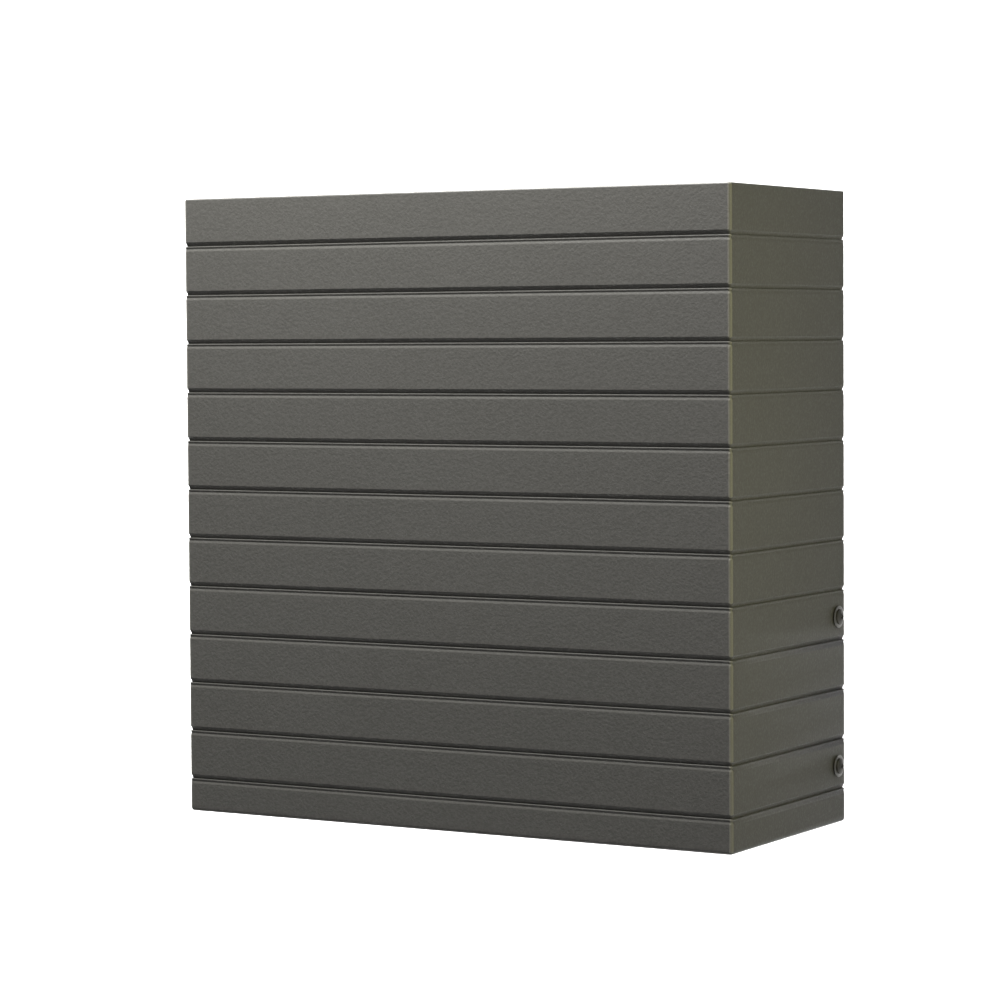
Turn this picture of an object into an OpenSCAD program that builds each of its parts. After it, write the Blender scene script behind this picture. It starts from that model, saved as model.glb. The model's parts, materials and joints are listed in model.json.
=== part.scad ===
// Wall battery unit: a low voltage lithium battery in a slatted hood.
// The wall plane is Y = 0, the front faces -Y, and the origin is the centre
// of the four bracket holes. Heights are worked out from the hood's lower edge.

/* [Hood] */
// Width of the hood along the wall
hood_w = 397; // [396:1:520]
// Height of the hood
hood_h = 400; // [400:1:560]
// Depth of the hood, from its front face to its rear edge
hood_d = 159; // [158:1:220]
// Gap between the hood's rear edge and the wall
wall_gap = 2; // [1:0.5:3]
// Thickness of the hood's walls
hood_wall = 3.5; // [3:0.1:3.8]
// Radius of the hood's upright front corners
corner_r = 2.4; // [1:0.1:3]
// Radius along the hood's top edges
top_r = 1.2; // [0.6:0.1:3]
// Radius along the hood's lower edges
bottom_r = 2.4; // [0.6:0.1:3]
// Height of one slat together with its groove
slat_pitch = 31.6; // [24:0.1:44]
// Depth of the grooves between the slats
groove_d = 1.2; // [0.8:0.1:2]

/* [Hood fixing] */
// Diameter of the four hood screws
screw_d = 5; // [4:0.5:6]
// Diameter of the screw heads
screw_head_d = 10; // [8:0.5:11]
// Height of the screw heads
screw_head_h = 2.2; // [1.6:0.1:3]
// Diameter of the metal washers
washer_d = 14; // [12:0.5:16]
// Distance of the screws from the hood's rear edge
screw_inset = 10; // [9:0.5:14]
// Slats between the lower and the upper screw of a side
screw_step = 3; // [2:1:5]
// Diameter of the two dowels that locate the top of the hood
dowel_d = 6; // [5:0.5:8]
// Distance of the dowels from the middle
dowel_x = 120; // [90:1:150]

/* [Chassis] */
// Gap between the pan's rim and the hood
rim_gap = 2; // [1.5:0.1:3]
// Distance from the wall to the rear face of the pan
pan_set = 16; // [16:0.5:22]
// Thickness of the pan and of the connection panel
sheet_t = 2; // [1.5:0.1:2]
// Height of the pan's lower edge above the hood's lower edge
pan_low = 4; // [2:1:10]
// Height of the connection panel's underside
panel_z = 68; // [64:1:90]
// Room between the clamp over the cells and the hood's roof
top_room = 26; // [22:1:44]

/* [Wall bracket] */
// Length of the bracket
bracket_w = 280; // [270:1:320]
// Height of the bracket's plate
bracket_h = 50; // [44:1:60]
// Thickness of the bracket
bracket_t = 3; // [2:0.5:4]
// Diameter of the wall holes
wall_hole_d = 9; // [6:0.5:11]
// Distance between the wall holes along the bracket
wall_hole_x = 240; // [200:1:250]
// Distance between the two rows of wall holes
wall_hole_z = 25; // [20:1:30]
// Drop of the holes' centre below the top of the hood
bracket_drop = 75; // [70:1:110]
// Height of the lip that the battery hangs on
lip_h = 15; // [12:1:18]

/* [Cells] */
// Width of one cell
cell_w = 160; // [130:1:160]
// Thickness of one cell
cell_t = 50; // [38:0.5:51]
// Depth of one cell's can, without its lid and terminals
cell_can = 111; // [100:1:111]
// Gap between the two columns of cells
column_gap = 13; // [12:1:20]
// Distance between the two terminals of a cell
terminal_span = 110; // [90:1:120]
// Thickness of the sheets between the cells
spacer_t = 1.5; // [1:0.1:1.6]
// Diameter of the tie rods
rod_d = 6; // [5:0.5:6]

/* [Connection panel] */
// Diameter of a power socket's barrel
socket_d = 28; // [26:0.5:32]
// Diameter of a power contact
contact_d = 8; // [6:0.5:10]
// Diameter of the cable that the gland takes
gland_bore_d = 10; // [6:0.5:11]
// Diameter of the earth stud
earth_d = 6; // [5:0.5:8]
// Diameter of the power button
button_d = 12; // [10:0.5:14]
// Travel of the power button
button_travel = 2; // [1:0.1:3]
// Diameter of the flap's hinge pin
flap_pin_d = 3; // [2:0.5:4]
// Width of the breaker
breaker_w = 36; // [30:1:40]
// Diameter of the power cables
cable_d = 8.6; // [6:0.1:8.6]

/* [Hidden] */
$fn = 48;
running = 0.05;  // radial clearance of a running fit
slip = 0.1;      // gap between flat faces that slide past each other
clear = 0.3;     // gap between curved faces of different bodies

// Hood
front_y = -(wall_gap + hood_d);
rear_y = -wall_gap;
inner_x = hood_w / 2 - hood_wall;
inner_top = hood_h - hood_wall;
inner_front = front_y + hood_wall;
least_band = 15;
groove_count = floor((hood_h - least_band) / slat_pitch);
// One groove with a bead along its lower side: [part of its depth, height from its centre], upwards
groove_shape = [[0, -2.8], [0.07, -2.1], [0.26, -1.4], [0.55, -1.05], [0.55, -0.85], [0.3, -0.45],
    [0.13, -0.05], [0.16, 0.35], [0.35, 0.65], [1, 0.85], [1, 1], [0.06, 3.35], [0, 3.6]];
arc_steps = 6;

// Hood fixing
screw_y = rear_y - screw_inset;
screw_rows = [groove_count - screw_step - 0.5, groove_count - 0.5];
screw_z = [for (row = screw_rows) hood_h - row * slat_pitch];
screw_r = screw_d / 2;
seal_t = 0.5;
seal_r = washer_d / 2 - 1;
washer_t = 0.7;
seal_x = hood_w / 2 + slip;
washer_x = seal_x + seal_t;
head_x = washer_x + washer_t;
head_edge_h = 0.9;
recess_w = 1.2;
recess_d = 1.3;
recess_span = 0.52 * screw_head_d;
nut_r = screw_r + 1;
nut_flange_r = screw_r + 2.5;
nut_l = 12;
slot_r = screw_r + 0.25;
key_half_h = slot_r - 0.15;
key_front = screw_y + nut_flange_r + slip;
dowel_r = dowel_d / 2;
dowel_z = inner_top - 9.5;
lug_half_w = 7;
lug_l = 16;
lug_rear = -pan_set - sheet_t - 2;
dowel_tail = 8;
bush_t = 1.5;
bush_flange = 2.5;

// Chassis
pan_x = inner_x - rim_gap;
pan_top = inner_top - rim_gap;
pan_y = -pan_set;
pan_front = pan_y - sheet_t;
rim_rear = rear_y - 1;
gasket_t = rim_gap - clear;
gasket_front = pan_front;
gasket_rear = rim_rear - 1;
bumper_r = 12;
bumper_x = 150;
bumper_z = 40;
m4_r = 2;
m4_head_r = 4;
m4_head_h = 2.4;
m4_l = 6;
m4_hole_r = m4_r + 0.2;
// Half of the screw's section: [radius, distance from the middle of the hood]
dome_h = screw_head_h - head_edge_h;
dome_r = (pow(screw_head_d / 2, 2) + pow(dome_h, 2)) / 2 / dome_h;
dome_angle = asin(screw_head_d / 2 / dome_r);
screw_outline = concat([[0, pan_x - nut_l], [screw_r, pan_x - nut_l], [screw_r, head_x],
    [screw_head_d / 2, head_x]], [for (s = [arc_steps : -1 : 0]) let (a = dome_angle * s / arc_steps)
    [dome_r * sin(a), head_x + screw_head_h - dome_r * (1 - cos(a))]]);

// Wall bracket and hang rail
origin_h = hood_h - bracket_drop;
bracket_top = origin_h + bracket_h / 2;
lip_top = bracket_top + lip_h;
lip_gap = 4.5;
rail_w = bracket_w + 20;
rail_t = 2.5;
rail_lip_y = -1;
rail_drop = 30;
rail_lip_h = lip_h - 3;
rail_screw_x = [-130, -60, 60, 130];
rail_screw_z = lip_top - lip_h;

// Connection panel
panel_top = panel_z + sheet_t;
seal_bite = 3;
seal_reach = 6.2;
seal_below = 4;
panel_x = inner_x - clear - seal_reach;
panel_front = inner_front + clear + seal_reach;
panel_flange = 16;
flange_screw_x = [-150, -50, 50, 150];
panel_screw_z = panel_top + 10;

// Shelf and cells
shelf_t = 4;
clamp_t = 4;
cell_rows = 4;
row_pitch = cell_t + spacer_t;
clamp_z = inner_top - top_room - clamp_t;
cells_z = clamp_z + spacer_t - cell_rows * row_pitch;
shelf_z = cells_z - shelf_t;
shelf_x = column_gap / 2 + cell_w + 16;
shelf_flange = 18;
shelf_screw_z = shelf_z - 9;
shelf_front = -138;
leg_t = 3;
leg_l = 40;
cell_rear = pan_front - 4;
cell_front = cell_rear - cell_can;
cell_r = 3;
lid_t = 2;
lid_front = cell_front - lid_t;
terminal_r = 9;
terminal_h = 5.5;
terminal_front = lid_front - terminal_h;
vent_r = 9;
vent_h = 0.4;
cell_x = (column_gap + cell_w) / 2;
rod_r = rod_d / 2;
rod_x = [-(column_gap / 2 + cell_w + 6.5), 0, column_gap / 2 + cell_w + 6.5];
rod_y = [cell_rear - 18, cell_front + 17];
tie_nut_h = 5;
tie_nut_r = rod_r + 2.8;
rod_spare = 2.5;
cell_count = 2 * cell_rows;
function cell_side(i) = i < cell_rows ? -1 : 1;
function cell_row(i) = i < cell_rows ? i : cell_count - 1 - i;
function row_z(row) = cells_z + cell_t / 2 + row * row_pitch;

// Busbars
bar_t = 2;
bar_w = 20;
bar_r = 4;
bar_front = terminal_front - bar_t;
bolt_r = 3;
bolt_head_r = 5.5;
bolt_head_h = 5;
bolt_grip = 6.5;
carrier_t = 1.5;
carrier_rear = lid_front - 1;
carrier_x = cell_x + cell_w / 2 - 6;
cover_t = 1.5;
cover_rear = bar_front - bolt_head_h - 2.5;
post_r = 4;
peg_r = 2;
peg_l = cover_t + 1;
post_x = [-carrier_x + 8, 0, carrier_x - 8];
post_gap = bar_w / 2 + post_r + 0.5;
post_z = [row_z(0) - post_gap, row_z(cell_rows - 1) + post_gap];
inner_terminal = cell_x - terminal_span / 2;
outer_terminal = cell_x + terminal_span / 2;
pack_lug_z = shelf_z - 20;

// Battery management board
pcb_t = 1.6;
bms_left = -170;
bms_right = 0;
bms_low = panel_top + 14;
bms_high = shelf_z - 20;
bms_rear = pan_front - 12;
bms_front = bms_rear - pcb_t;
bms_holes = [for (x = [bms_left + 7, bms_right - 4], z = [bms_low + 6, bms_high - 6]) [x, z]];
sink_left = -150;
sink_w = 118;
sink_low = bms_low + 8;
sink_h = bms_high - 6 - sink_low;
sink_rear = bms_front - 2.4;
sink_base = 3;
fin_t = 2;
fin_l = 16;
fin_count = 11;
block_half = 8;
block_y = bms_front - 4.4;
block_x = -16;
block_z = [bms_low + 14, bms_high - 14];

// Communication board and what stands under it
comm_z = panel_top + 14;
comm_left = -146;
comm_right = -4;
comm_rear = -72;
comm_front = -136;
comm_holes = [for (x = [comm_left + 5, comm_right - 5], y = [comm_rear - 5, comm_front + 5]) [x, y]];
standoff_r = 3;
stub_r = 1.5;
port_x = [-122, -103, -84];
port_y = -118;
port_w = 15.9;
port_l = 13.5;
port_low = panel_z - 1;
port_hole_w = 11.8;
port_hole_l = 8.4;
port_hole_h = 12;
dial_x = -65;
dial_r = 5;
dial_low = panel_z - 1;
dial_h = 9;
button_x = -24;
button_y = -112;
button_r = button_d / 2;
bezel_r = button_r + 6;
bezel_low = panel_z - 2.5;
barrel_r = button_r + 3.4;
shoulder_z = bezel_low + 5.5;
collar_t = 2;
light_y = -88;
light_x = [for (i = [0 : 5]) button_x - 17.5 + 7 * i];
light_r = 1.5;

// Flap over the ports and the dial
flap_left = -138;
flap_right = -54;
flap_axis_y = -98;
flap_axis_z = panel_z - 5;
flap_front = -138;
flap_t = 2.2;
flap_low = flap_axis_z - 1.1;
knuckle_r = flap_pin_d / 2 + 1.8;
ear_t = 4;
ear_gap = 1;

// Breaker
breaker_left = 66;
breaker_mid_y = -85;
breaker_l = 80;
breaker_h = 50;
breaker_foot_l = 50;
breaker_foot_h = 14;
nose_l = 45;
nose_drop = 4;
toggle_z = panel_z + 4;
toggle_r = 9.5;
toggle_half_w = breaker_w / 2 - 5;
axle_r = 2;
axle_l = 2.5;
lever_half_w = toggle_half_w - 2;
lever_t = 6;
lever_l = 21;
toggle_gap_y = 8.6;
toggle_on = 22;

// Fuse
fuse_x = inner_terminal;
fuse_half_w = 15;
fuse_z = [panel_top + 20, shelf_z - 18];
fuse_rear = -118;
fuse_base = -132;
fuse_seat = terminal_front;
fuse_post_h = 10;
fuse_stud_r = 3;
fuse_stud_l = 9.5;
blade_t = 2;
blade_half_w = 8;
fuse_r = 8;
fuse_half_l = (fuse_z[1] - fuse_z[0]) / 2 - fuse_post_h - 1;

// Sockets
socket_x = [128, 168];
socket_y = -85;
socket_r = socket_d / 2;
socket_wall = 3;
socket_flange = socket_r + 3;
socket_flange_t = 3;
socket_low = panel_z - 24;
socket_floor = panel_z - 5;
neck_r = 12;
collar_r = 15;
collar_h = 6;
contact_r = contact_d / 2;
contact_shank_r = contact_r + 0.5;
contact_low = socket_low + 3;
contact_top = panel_top + 20;

// Gland, earth stud and vent
gland_x = -164;
gland_y = -60;
gland_thread_r = 10;
gland_hex_r = 14;
gland_hex_h = 6;
gland_tail_r = 8.5;
gland_low = panel_z - 18;
gland_nut_low = panel_z - 26;
gland_nut_top = panel_z - 8;
gland_nut_r = 13.5;
earth_x = -164;
earth_y = -115;
earth_r = earth_d / 2;
earth_low = panel_z - 22;
earth_nut_r = earth_r + 2.8;
earth_nut_h = 5;
vent_x = -110;
vent_y = -50;
vent_cap_r = 12;
vent_cap_h = 7;
vent_thread_r = 6;

// Power cables, as points chosen by hand
cable_r = cable_d / 2;
cable_sides = 10;
run_z = panel_top + 30;
fuse_cable = [[fuse_x + 18, fuse_seat - 1, fuse_z[0]], [fuse_x + 28, fuse_seat - 1, fuse_z[0] + 1],
    [70, -139, fuse_z[0] + 5], [75, -133, fuse_z[0] + 8],
    [75, breaker_mid_y - breaker_l / 2, fuse_z[0] + 8]];
plus_cable = [[75, breaker_mid_y + breaker_l / 2, run_z], [75, -38, run_z], [82, -32, run_z],
    [106, -32, run_z + 2], [121, -40, run_z + 7], [127, -58, run_z + 13], [128, -78, run_z + 10],
    [128, socket_y, run_z - 1], [128, socket_y, contact_top]];
minus_cable = [[block_x + block_half, block_y + 2.2 - cable_r, block_z[0]], [4, -37, run_z - 3],
    [32, -31, run_z - 12], [66, -30, run_z - 16], [118, -30, run_z - 16], [148, -33, run_z - 12],
    [163, -48, run_z - 1], [168, -72, run_z + 7], [168, socket_y, run_z], [168, socket_y, contact_top]];
pack_cable = [[-fuse_x, terminal_front, pack_lug_z - 2], [-fuse_x, -126, pack_lug_z - 3],
    [-26, -98, block_z[1] + 5], [-18, -68, block_z[1]], [block_x, -52, block_z[1]],
    [block_x, block_y, block_z[1]]];

// ---- Shapes that repeat ----

// Moves heights that start at the hood's lower edge to the origin
module place() translate([0, 0, -origin_h]) children();

// Box between two opposite corners
module box(low, high) translate(low) cube(high - low);

// Round bars along X, Y and Z from one station to another
module bar_x(r, from, to) translate([from, 0, 0]) rotate([0, 90, 0]) cylinder(r = r, h = to - from);
module bar_y(r, from, to) translate([0, to, 0]) rotate([90, 0, 0]) cylinder(r = r, h = to - from);
module bar_z(r, from, to) translate([0, 0, from]) cylinder(r = r, h = to - from);

// Points of a rectangle about the origin with round corners
function round_rect(w, h, r) = [for (c = [[1, 1, 0], [-1, 1, 90], [-1, -1, 180], [1, -1, 270]],
    s = [0 : arc_steps]) let (a = c[2] + 90 * s / arc_steps)
    [c[0] * (w / 2 - r) + r * cos(a), c[1] * (h / 2 - r) + r * sin(a)]];

// Upright plate facing the front: its outline lies in X and Z
module wall_plate(w, h, r, from, to) {
    translate([0, to, 0]) rotate([90, 0, 0]) linear_extrude(to - from) polygon(round_rect(w, h, r));
}

// Smooth curve through hand-set points
function blend(a, b, c, d, t) = 0.5 * (2 * b + (c - a) * t + (2 * a - 5 * b + 4 * c - d) * t * t
    + (3 * b - a - 3 * c + d) * t * t * t);
function smooth(p, steps = 3) = concat([for (i = [0 : len(p) - 2], s = [0 : steps - 1])
    blend(p[max(i - 1, 0)], p[i], p[i + 1], p[min(i + 2, len(p) - 1)], s / steps)], [p[len(p) - 1]]);
function unit(v) = v / norm(v);

// Round cable along a path; aside is a direction that the path never takes
module cable(points, r, aside, first, last) {
    path = smooth(points);
    n = len(path);
    rings = [for (i = [0 : n - 1]) let (
        along = i == 0 ? first : i == n - 1 ? last : unit(path[i + 1] - path[i - 1]),
        across = unit(cross(along, aside)),
        over = cross(across, along))
        for (s = [0 : cable_sides - 1]) let (a = 360 * s / cable_sides)
        path[i] + r * (cos(a) * across + sin(a) * over)];
    sides = [for (i = [0 : n - 2], s = [0 : cable_sides - 1]) let (
        a = i * cable_sides + s,
        b = i * cable_sides + (s + 1) % cable_sides)
        each [[a, b, b + cable_sides], [a, b + cable_sides, a + cable_sides]]];
    near_end = [[for (s = [cable_sides - 1 : -1 : 0]) s]];
    far_end = [[for (s = [0 : cable_sides - 1]) (n - 1) * cable_sides + s]];
    polyhedron(rings, concat(near_end, sides, far_end));
}

// ---- Wall bracket and chassis ----

module wall_bracket() color("#8e9294") place() difference() {
    union() {
        box([-bracket_w / 2, -bracket_t, bracket_top - bracket_h], [bracket_w / 2, 0, bracket_top]);
        box([-bracket_w / 2, -lip_gap - bracket_t, bracket_top - bracket_t],
            [bracket_w / 2, 0, bracket_top]);
        box([-bracket_w / 2, -lip_gap - bracket_t, bracket_top - bracket_t],
            [bracket_w / 2, -lip_gap, lip_top]);
    }
    for (x = [-1, 1], z = [-1, 1])
        translate([x * wall_hole_x / 2, 0, origin_h + z * wall_hole_z / 2])
            bar_y(wall_hole_d / 2, -2 * bracket_t, bracket_t);
}

// Folded pan; a key on its rim fills the open end of each slot in the hood
module back_pan() color("#5c5e60") place() difference() {
    union() {
        box([-pan_x, pan_front, pan_low], [pan_x, rim_rear, pan_top]);
        for (side = [0, 1], z = screw_z) mirror([side, 0, 0]) translate([0, 0, z])
            box([pan_x - sheet_t, key_front, -key_half_h],
                [hood_w / 2 - slip, rear_y - slip, key_half_h]);
    }
    box([-pan_x + sheet_t, pan_y, pan_low + sheet_t], [pan_x - sheet_t, 0, pan_top - sheet_t]);
    for (z = screw_z) translate([0, screw_y, z])
        bar_x(nut_r + running, -hood_w, hood_w);
    for (x = [-dowel_x, dowel_x]) translate([x, 0, dowel_z])
        bar_y(dowel_r + bush_t + running, 2 * pan_front, 0);
    for (x = rail_screw_x) translate([x, 0, rail_screw_z]) bar_y(m4_hole_r, 2 * pan_front, 0);
    for (x = flange_screw_x, z = [panel_screw_z, shelf_screw_z])
        translate([x, 0, z]) bar_y(m4_hole_r, 2 * pan_front, 0);
}

module hang_rail() color("#8e9294") place() difference() {
    union() {
        box([-rail_w / 2, pan_y, lip_top - rail_drop], [rail_w / 2, pan_y + rail_t, lip_top + rail_t]);
        box([-rail_w / 2, pan_y, lip_top], [rail_w / 2, rail_lip_y, lip_top + rail_t]);
        box([-rail_w / 2, rail_lip_y - rail_t, lip_top - rail_lip_h],
            [rail_w / 2, rail_lip_y, lip_top + rail_t]);
    }
    for (x = rail_screw_x) translate([x, 0, rail_screw_z]) bar_y(m4_hole_r, 2 * pan_y, 0);
}

// Pan head screw along Y: turn is 1 where the tip points to the wall
module chassis_screw(x, z, seat, turn) translate([x, seat, z]) rotate([-90 * turn, 0, 0])
    difference() {
        union() {
            bar_z(m4_r, 0, m4_l);
            bar_z(m4_head_r, -m4_head_h, 0);
        }
        for (a = [0, 90]) rotate([0, 0, a])
            translate([0, 0, -m4_head_h]) cube([m4_head_r, recess_w, recess_w], center = true);
    }

module chassis_screws() color("#b9bcbe") place() {
    for (x = rail_screw_x) chassis_screw(x, rail_screw_z, pan_y + rail_t, -1);
    for (x = flange_screw_x, z = [panel_screw_z, shelf_screw_z])
        chassis_screw(x, z, pan_front - sheet_t, 1);
}

module rear_bumpers() color("#222222") place()
    for (x = [-bumper_x, bumper_x]) translate([x, 0, bumper_z]) difference() {
        bar_y(bumper_r, pan_y, 0);
        bar_y(bumper_r / 2, -pan_set / 4, 1);
    }

module rim_gasket() color("#1d1d1d") place() difference() {
    box([-pan_x - gasket_t, gasket_front, pan_low], [pan_x + gasket_t, gasket_rear, pan_top + gasket_t]);
    box([-pan_x, -hood_d, -1], [pan_x, 0, pan_top]);
    for (z = screw_z) translate([0, 0, z])
        box([-hood_w, -hood_d, -nut_flange_r - clear], [hood_w, 0, nut_flange_r + clear]);
}

module rivet_nuts() color("#b9bcbe") place()
    for (side = [0, 1], z = screw_z) mirror([side, 0, 0]) translate([0, screw_y, z]) difference() {
        union() {
            bar_x(nut_r, pan_x - nut_l, pan_x);
            bar_x(nut_flange_r, pan_x, inner_x - slip);
        }
        bar_x(screw_r + running, pan_x - 2 * nut_l, hood_w);
    }

module dowel_bushes() color("#e8e6df") place()
    for (x = [-dowel_x, dowel_x]) translate([x, 0, dowel_z]) difference() {
        union() {
            bar_y(dowel_r + bush_t, pan_front, pan_y + bush_t);
            bar_y(dowel_r + bush_flange, pan_front - bush_t, pan_front);
        }
        bar_y(dowel_r + running, -hood_d, 0);
    }

// ---- Hood ----

// A face of the hood from its lower to its upper edge: [how far in, height]
face_line = concat(
    [for (s = [0 : arc_steps]) let (a = 90 * s / arc_steps)
        [bottom_r * (1 - sin(a)), bottom_r * (1 - cos(a))]],
    [for (i = [groove_count : -1 : 1], p = groove_shape)
        [p[0] * groove_d, p[1] + hood_h - i * slat_pitch]],
    [for (s = [0 : arc_steps]) let (a = 90 * s / arc_steps)
        [top_r * (1 - cos(a)), hood_h - top_r * (1 - sin(a))]]);
corner_line = [for (s = [0 : arc_steps]) let (a = 90 * s / arc_steps)
    [hood_w / 2 - corner_r * (1 - cos(a)), front_y + corner_r * (1 - sin(a))]];

module hood_block() intersection() {
    rotate([90, 0, 90]) linear_extrude(2 * hood_w, center = true)
        polygon(concat([for (p = face_line) [front_y + p[0], p[1]]], [[rear_y, hood_h], [rear_y, 0]]));
    rotate([90, 0, 0]) linear_extrude(2 * hood_d)
        polygon(concat([for (p = face_line) [hood_w / 2 - p[0], p[1]]],
            [for (i = [len(face_line) - 1 : -1 : 0]) [face_line[i][0] - hood_w / 2, face_line[i][1]]]));
    translate([0, 0, -hood_h]) linear_extrude(3 * hood_h)
        polygon(concat([[hood_w / 2, 0]], corner_line,
            [for (i = [len(corner_line) - 1 : -1 : 0]) [-corner_line[i][0], corner_line[i][1]]],
            [[-hood_w / 2, 0]]));
}

module hood() color("#4b4a46") place() difference() {
    union() {
        difference() {
            hood_block();
            box([-inner_x, inner_front, -hood_h], [inner_x, hood_d, inner_top]);
        }
        for (x = [-dowel_x, dowel_x])
            box([x - lug_half_w, lug_rear - lug_l, dowel_z - lug_half_w],
                [x + lug_half_w, lug_rear, inner_top + hood_wall / 2]);
    }
    for (x = [-dowel_x, dowel_x]) translate([x, 0, dowel_z])
        bar_y(dowel_r, lug_rear - lug_l - 1, lug_rear + 1);
    for (side = [-1, 1], z = screw_z) {
        translate([side * hood_w / 2, screw_y, z]) bar_x(slot_r, -2 * hood_wall, 2 * hood_wall);
        translate([side * hood_w / 2, 0, z])
            box([-2 * hood_wall, screw_y, -slot_r], [2 * hood_wall, 1, slot_r]);
    }
}

module hood_dowels() color("#c8cacc") place()
    for (x = [-dowel_x, dowel_x]) translate([x, 0, dowel_z])
        bar_y(dowel_r, lug_rear - lug_l, -dowel_tail);

// Cross recessed pan head screw through the side of the hood
module hood_screw(side, z) color("#9b9a95") place() mirror([side, 0, 0]) translate([0, screw_y, z])
    difference() {
        rotate([0, 90, 0]) rotate_extrude() polygon(screw_outline);
        for (a = [0, 90]) rotate([a, 0, 0])
            box([head_x + screw_head_h - recess_d, -recess_span / 2, -recess_w / 2],
                [head_x + screw_head_h + 1, recess_span / 2, recess_w / 2]);
    }
module hood_screw_1() hood_screw(0, screw_z[0]);
module hood_screw_2() hood_screw(0, screw_z[1]);
module hood_screw_3() hood_screw(1, screw_z[0]);
module hood_screw_4() hood_screw(1, screw_z[1]);

// Ring round each hood screw, between two distances from the middle
module screw_rings(r, from, to) place()
    for (side = [0, 1], z = screw_z) mirror([side, 0, 0]) translate([0, screw_y, z]) difference() {
        bar_x(r, from, to);
        bar_x(screw_r + slip, 0, hood_w);
    }
module screw_washers() color("#a7a6a0") screw_rings(washer_d / 2, washer_x, head_x);
module screw_seals() color("#161616") screw_rings(seal_r, seal_x, washer_x);

// ---- Connection panel ----

module base_panel() color("#5c5e60") place() {
    difference() {
        union() {
            box([-panel_x, panel_front, panel_z], [panel_x, pan_front, panel_top]);
            box([-panel_x, pan_front - sheet_t, panel_z], [panel_x, pan_front, panel_top + panel_flange]);
            for (x = [flap_left - ear_gap - ear_t, flap_right + ear_gap])
                box([x, flap_axis_y - 4, flap_axis_z - 4], [x + ear_t, flap_axis_y + 4, panel_top]);
        }
        for (x = flange_screw_x) translate([x, 0, panel_screw_z]) bar_y(m4_hole_r, 2 * pan_front, 0);
        translate([0, flap_axis_y, flap_axis_z]) bar_x(flap_pin_d / 2, flap_left - 20, flap_right + 20);
        for (x = socket_x) translate([x, socket_y, 0]) bar_z(neck_r + slip, 0, hood_h);
        box([breaker_left - slip, breaker_mid_y - nose_l / 2 - slip, 0],
            [breaker_left + breaker_w + slip, breaker_mid_y + nose_l / 2 + slip, hood_h]);
        translate([gland_x, gland_y, 0]) bar_z(gland_thread_r + slip, 0, hood_h);
        translate([earth_x, earth_y, 0]) bar_z(earth_r + slip, 0, hood_h);
        translate([vent_x, vent_y, 0]) bar_z(vent_thread_r + slip, 0, hood_h);
        translate([button_x, button_y, 0]) bar_z(barrel_r + slip, 0, hood_h);
        translate([dial_x, port_y, 0]) bar_z(dial_r + clear, 0, hood_h);
        for (x = light_x) translate([x, light_y, 0]) bar_z(light_r + slip, 0, hood_h);
        for (x = port_x) translate([x, port_y, 0])
            box([-port_w / 2 - slip, -port_l / 2 - slip, 0],
                [port_w / 2 + slip, port_l / 2 + slip, hood_h]);
    }
}

module base_seal() color("#1d1d1d") place() difference() {
    box([-panel_x - seal_reach, panel_front - seal_reach, panel_z - seal_below],
        [panel_x + seal_reach, pan_front, panel_top + seal_below]);
    box([-panel_x + seal_bite, panel_front + seal_bite, 0], [panel_x - seal_bite, 0, hood_h]);
    box([-panel_x, panel_front, panel_z], [panel_x, 0, panel_top]);
    box([-panel_x, pan_front - sheet_t, 0], [panel_x, 0, hood_h]);
}

// ---- Cells ----

// Places its children at the middle of a cell's face
module at_cell(i) translate([cell_side(i) * cell_x, 0, row_z(cell_row(i))]) children();

module cell(i) color("#2f6f9e") place() at_cell(i)
    wall_plate(cell_w, cell_t, cell_r, cell_front, cell_rear);
module cell_1() cell(0);
module cell_2() cell(1);
module cell_3() cell(2);
module cell_4() cell(3);
module cell_5() cell(4);
module cell_6() cell(5);
module cell_7() cell(6);
module cell_8() cell(7);

module cell_lids() color("#c3c6c8") place() for (i = [0 : cell_count - 1]) at_cell(i) {
    wall_plate(cell_w - 2, cell_t - 2, cell_r - 1, lid_front, cell_front);
    bar_y(vent_r, lid_front - vent_h, lid_front);
}

// Places its children at each terminal's axis
module at_terminals() for (i = [0 : cell_count - 1], side = [-1, 1])
    at_cell(i) translate([side * terminal_span / 2, 0, 0]) children();

module cell_terminals() color("#d7d9da") place() at_terminals() difference() {
    bar_y(terminal_r, terminal_front, lid_front);
    bar_y(bolt_r + running, 2 * terminal_front, lid_front + 1);
}

module cell_spacers() color("#d8d2bd") place() for (side = [-1, 1], row = [1 : cell_rows - 1])
    translate([side * cell_x, 0, row_z(row) - cell_t / 2])
        box([2 - cell_w / 2, cell_front + 2, -spacer_t], [cell_w / 2 - 2, cell_rear - 2, 0]);

module at_rods() for (x = rod_x, y = rod_y) translate([x, y, 0]) children();

module cell_clamp() color("#b7babc") place() difference() {
    box([-shelf_x, cell_front, clamp_z], [shelf_x, cell_rear, clamp_z + clamp_t]);
    at_rods() bar_z(rod_r + clear, 0, 2 * hood_h);
}

module tie_rods() color("#b9bcbe") place() at_rods()
    bar_z(rod_r, shelf_z - tie_nut_h - rod_spare, clamp_z + clamp_t + tie_nut_h + rod_spare);

module tie_nuts() color("#b9bcbe") place() at_rods() for (z = [shelf_z - tie_nut_h, clamp_z + clamp_t])
    difference() {
        translate([0, 0, z]) cylinder(r = tie_nut_r, h = tie_nut_h, $fn = 6);
        bar_z(rod_r + running, 0, 2 * hood_h);
    }

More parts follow.
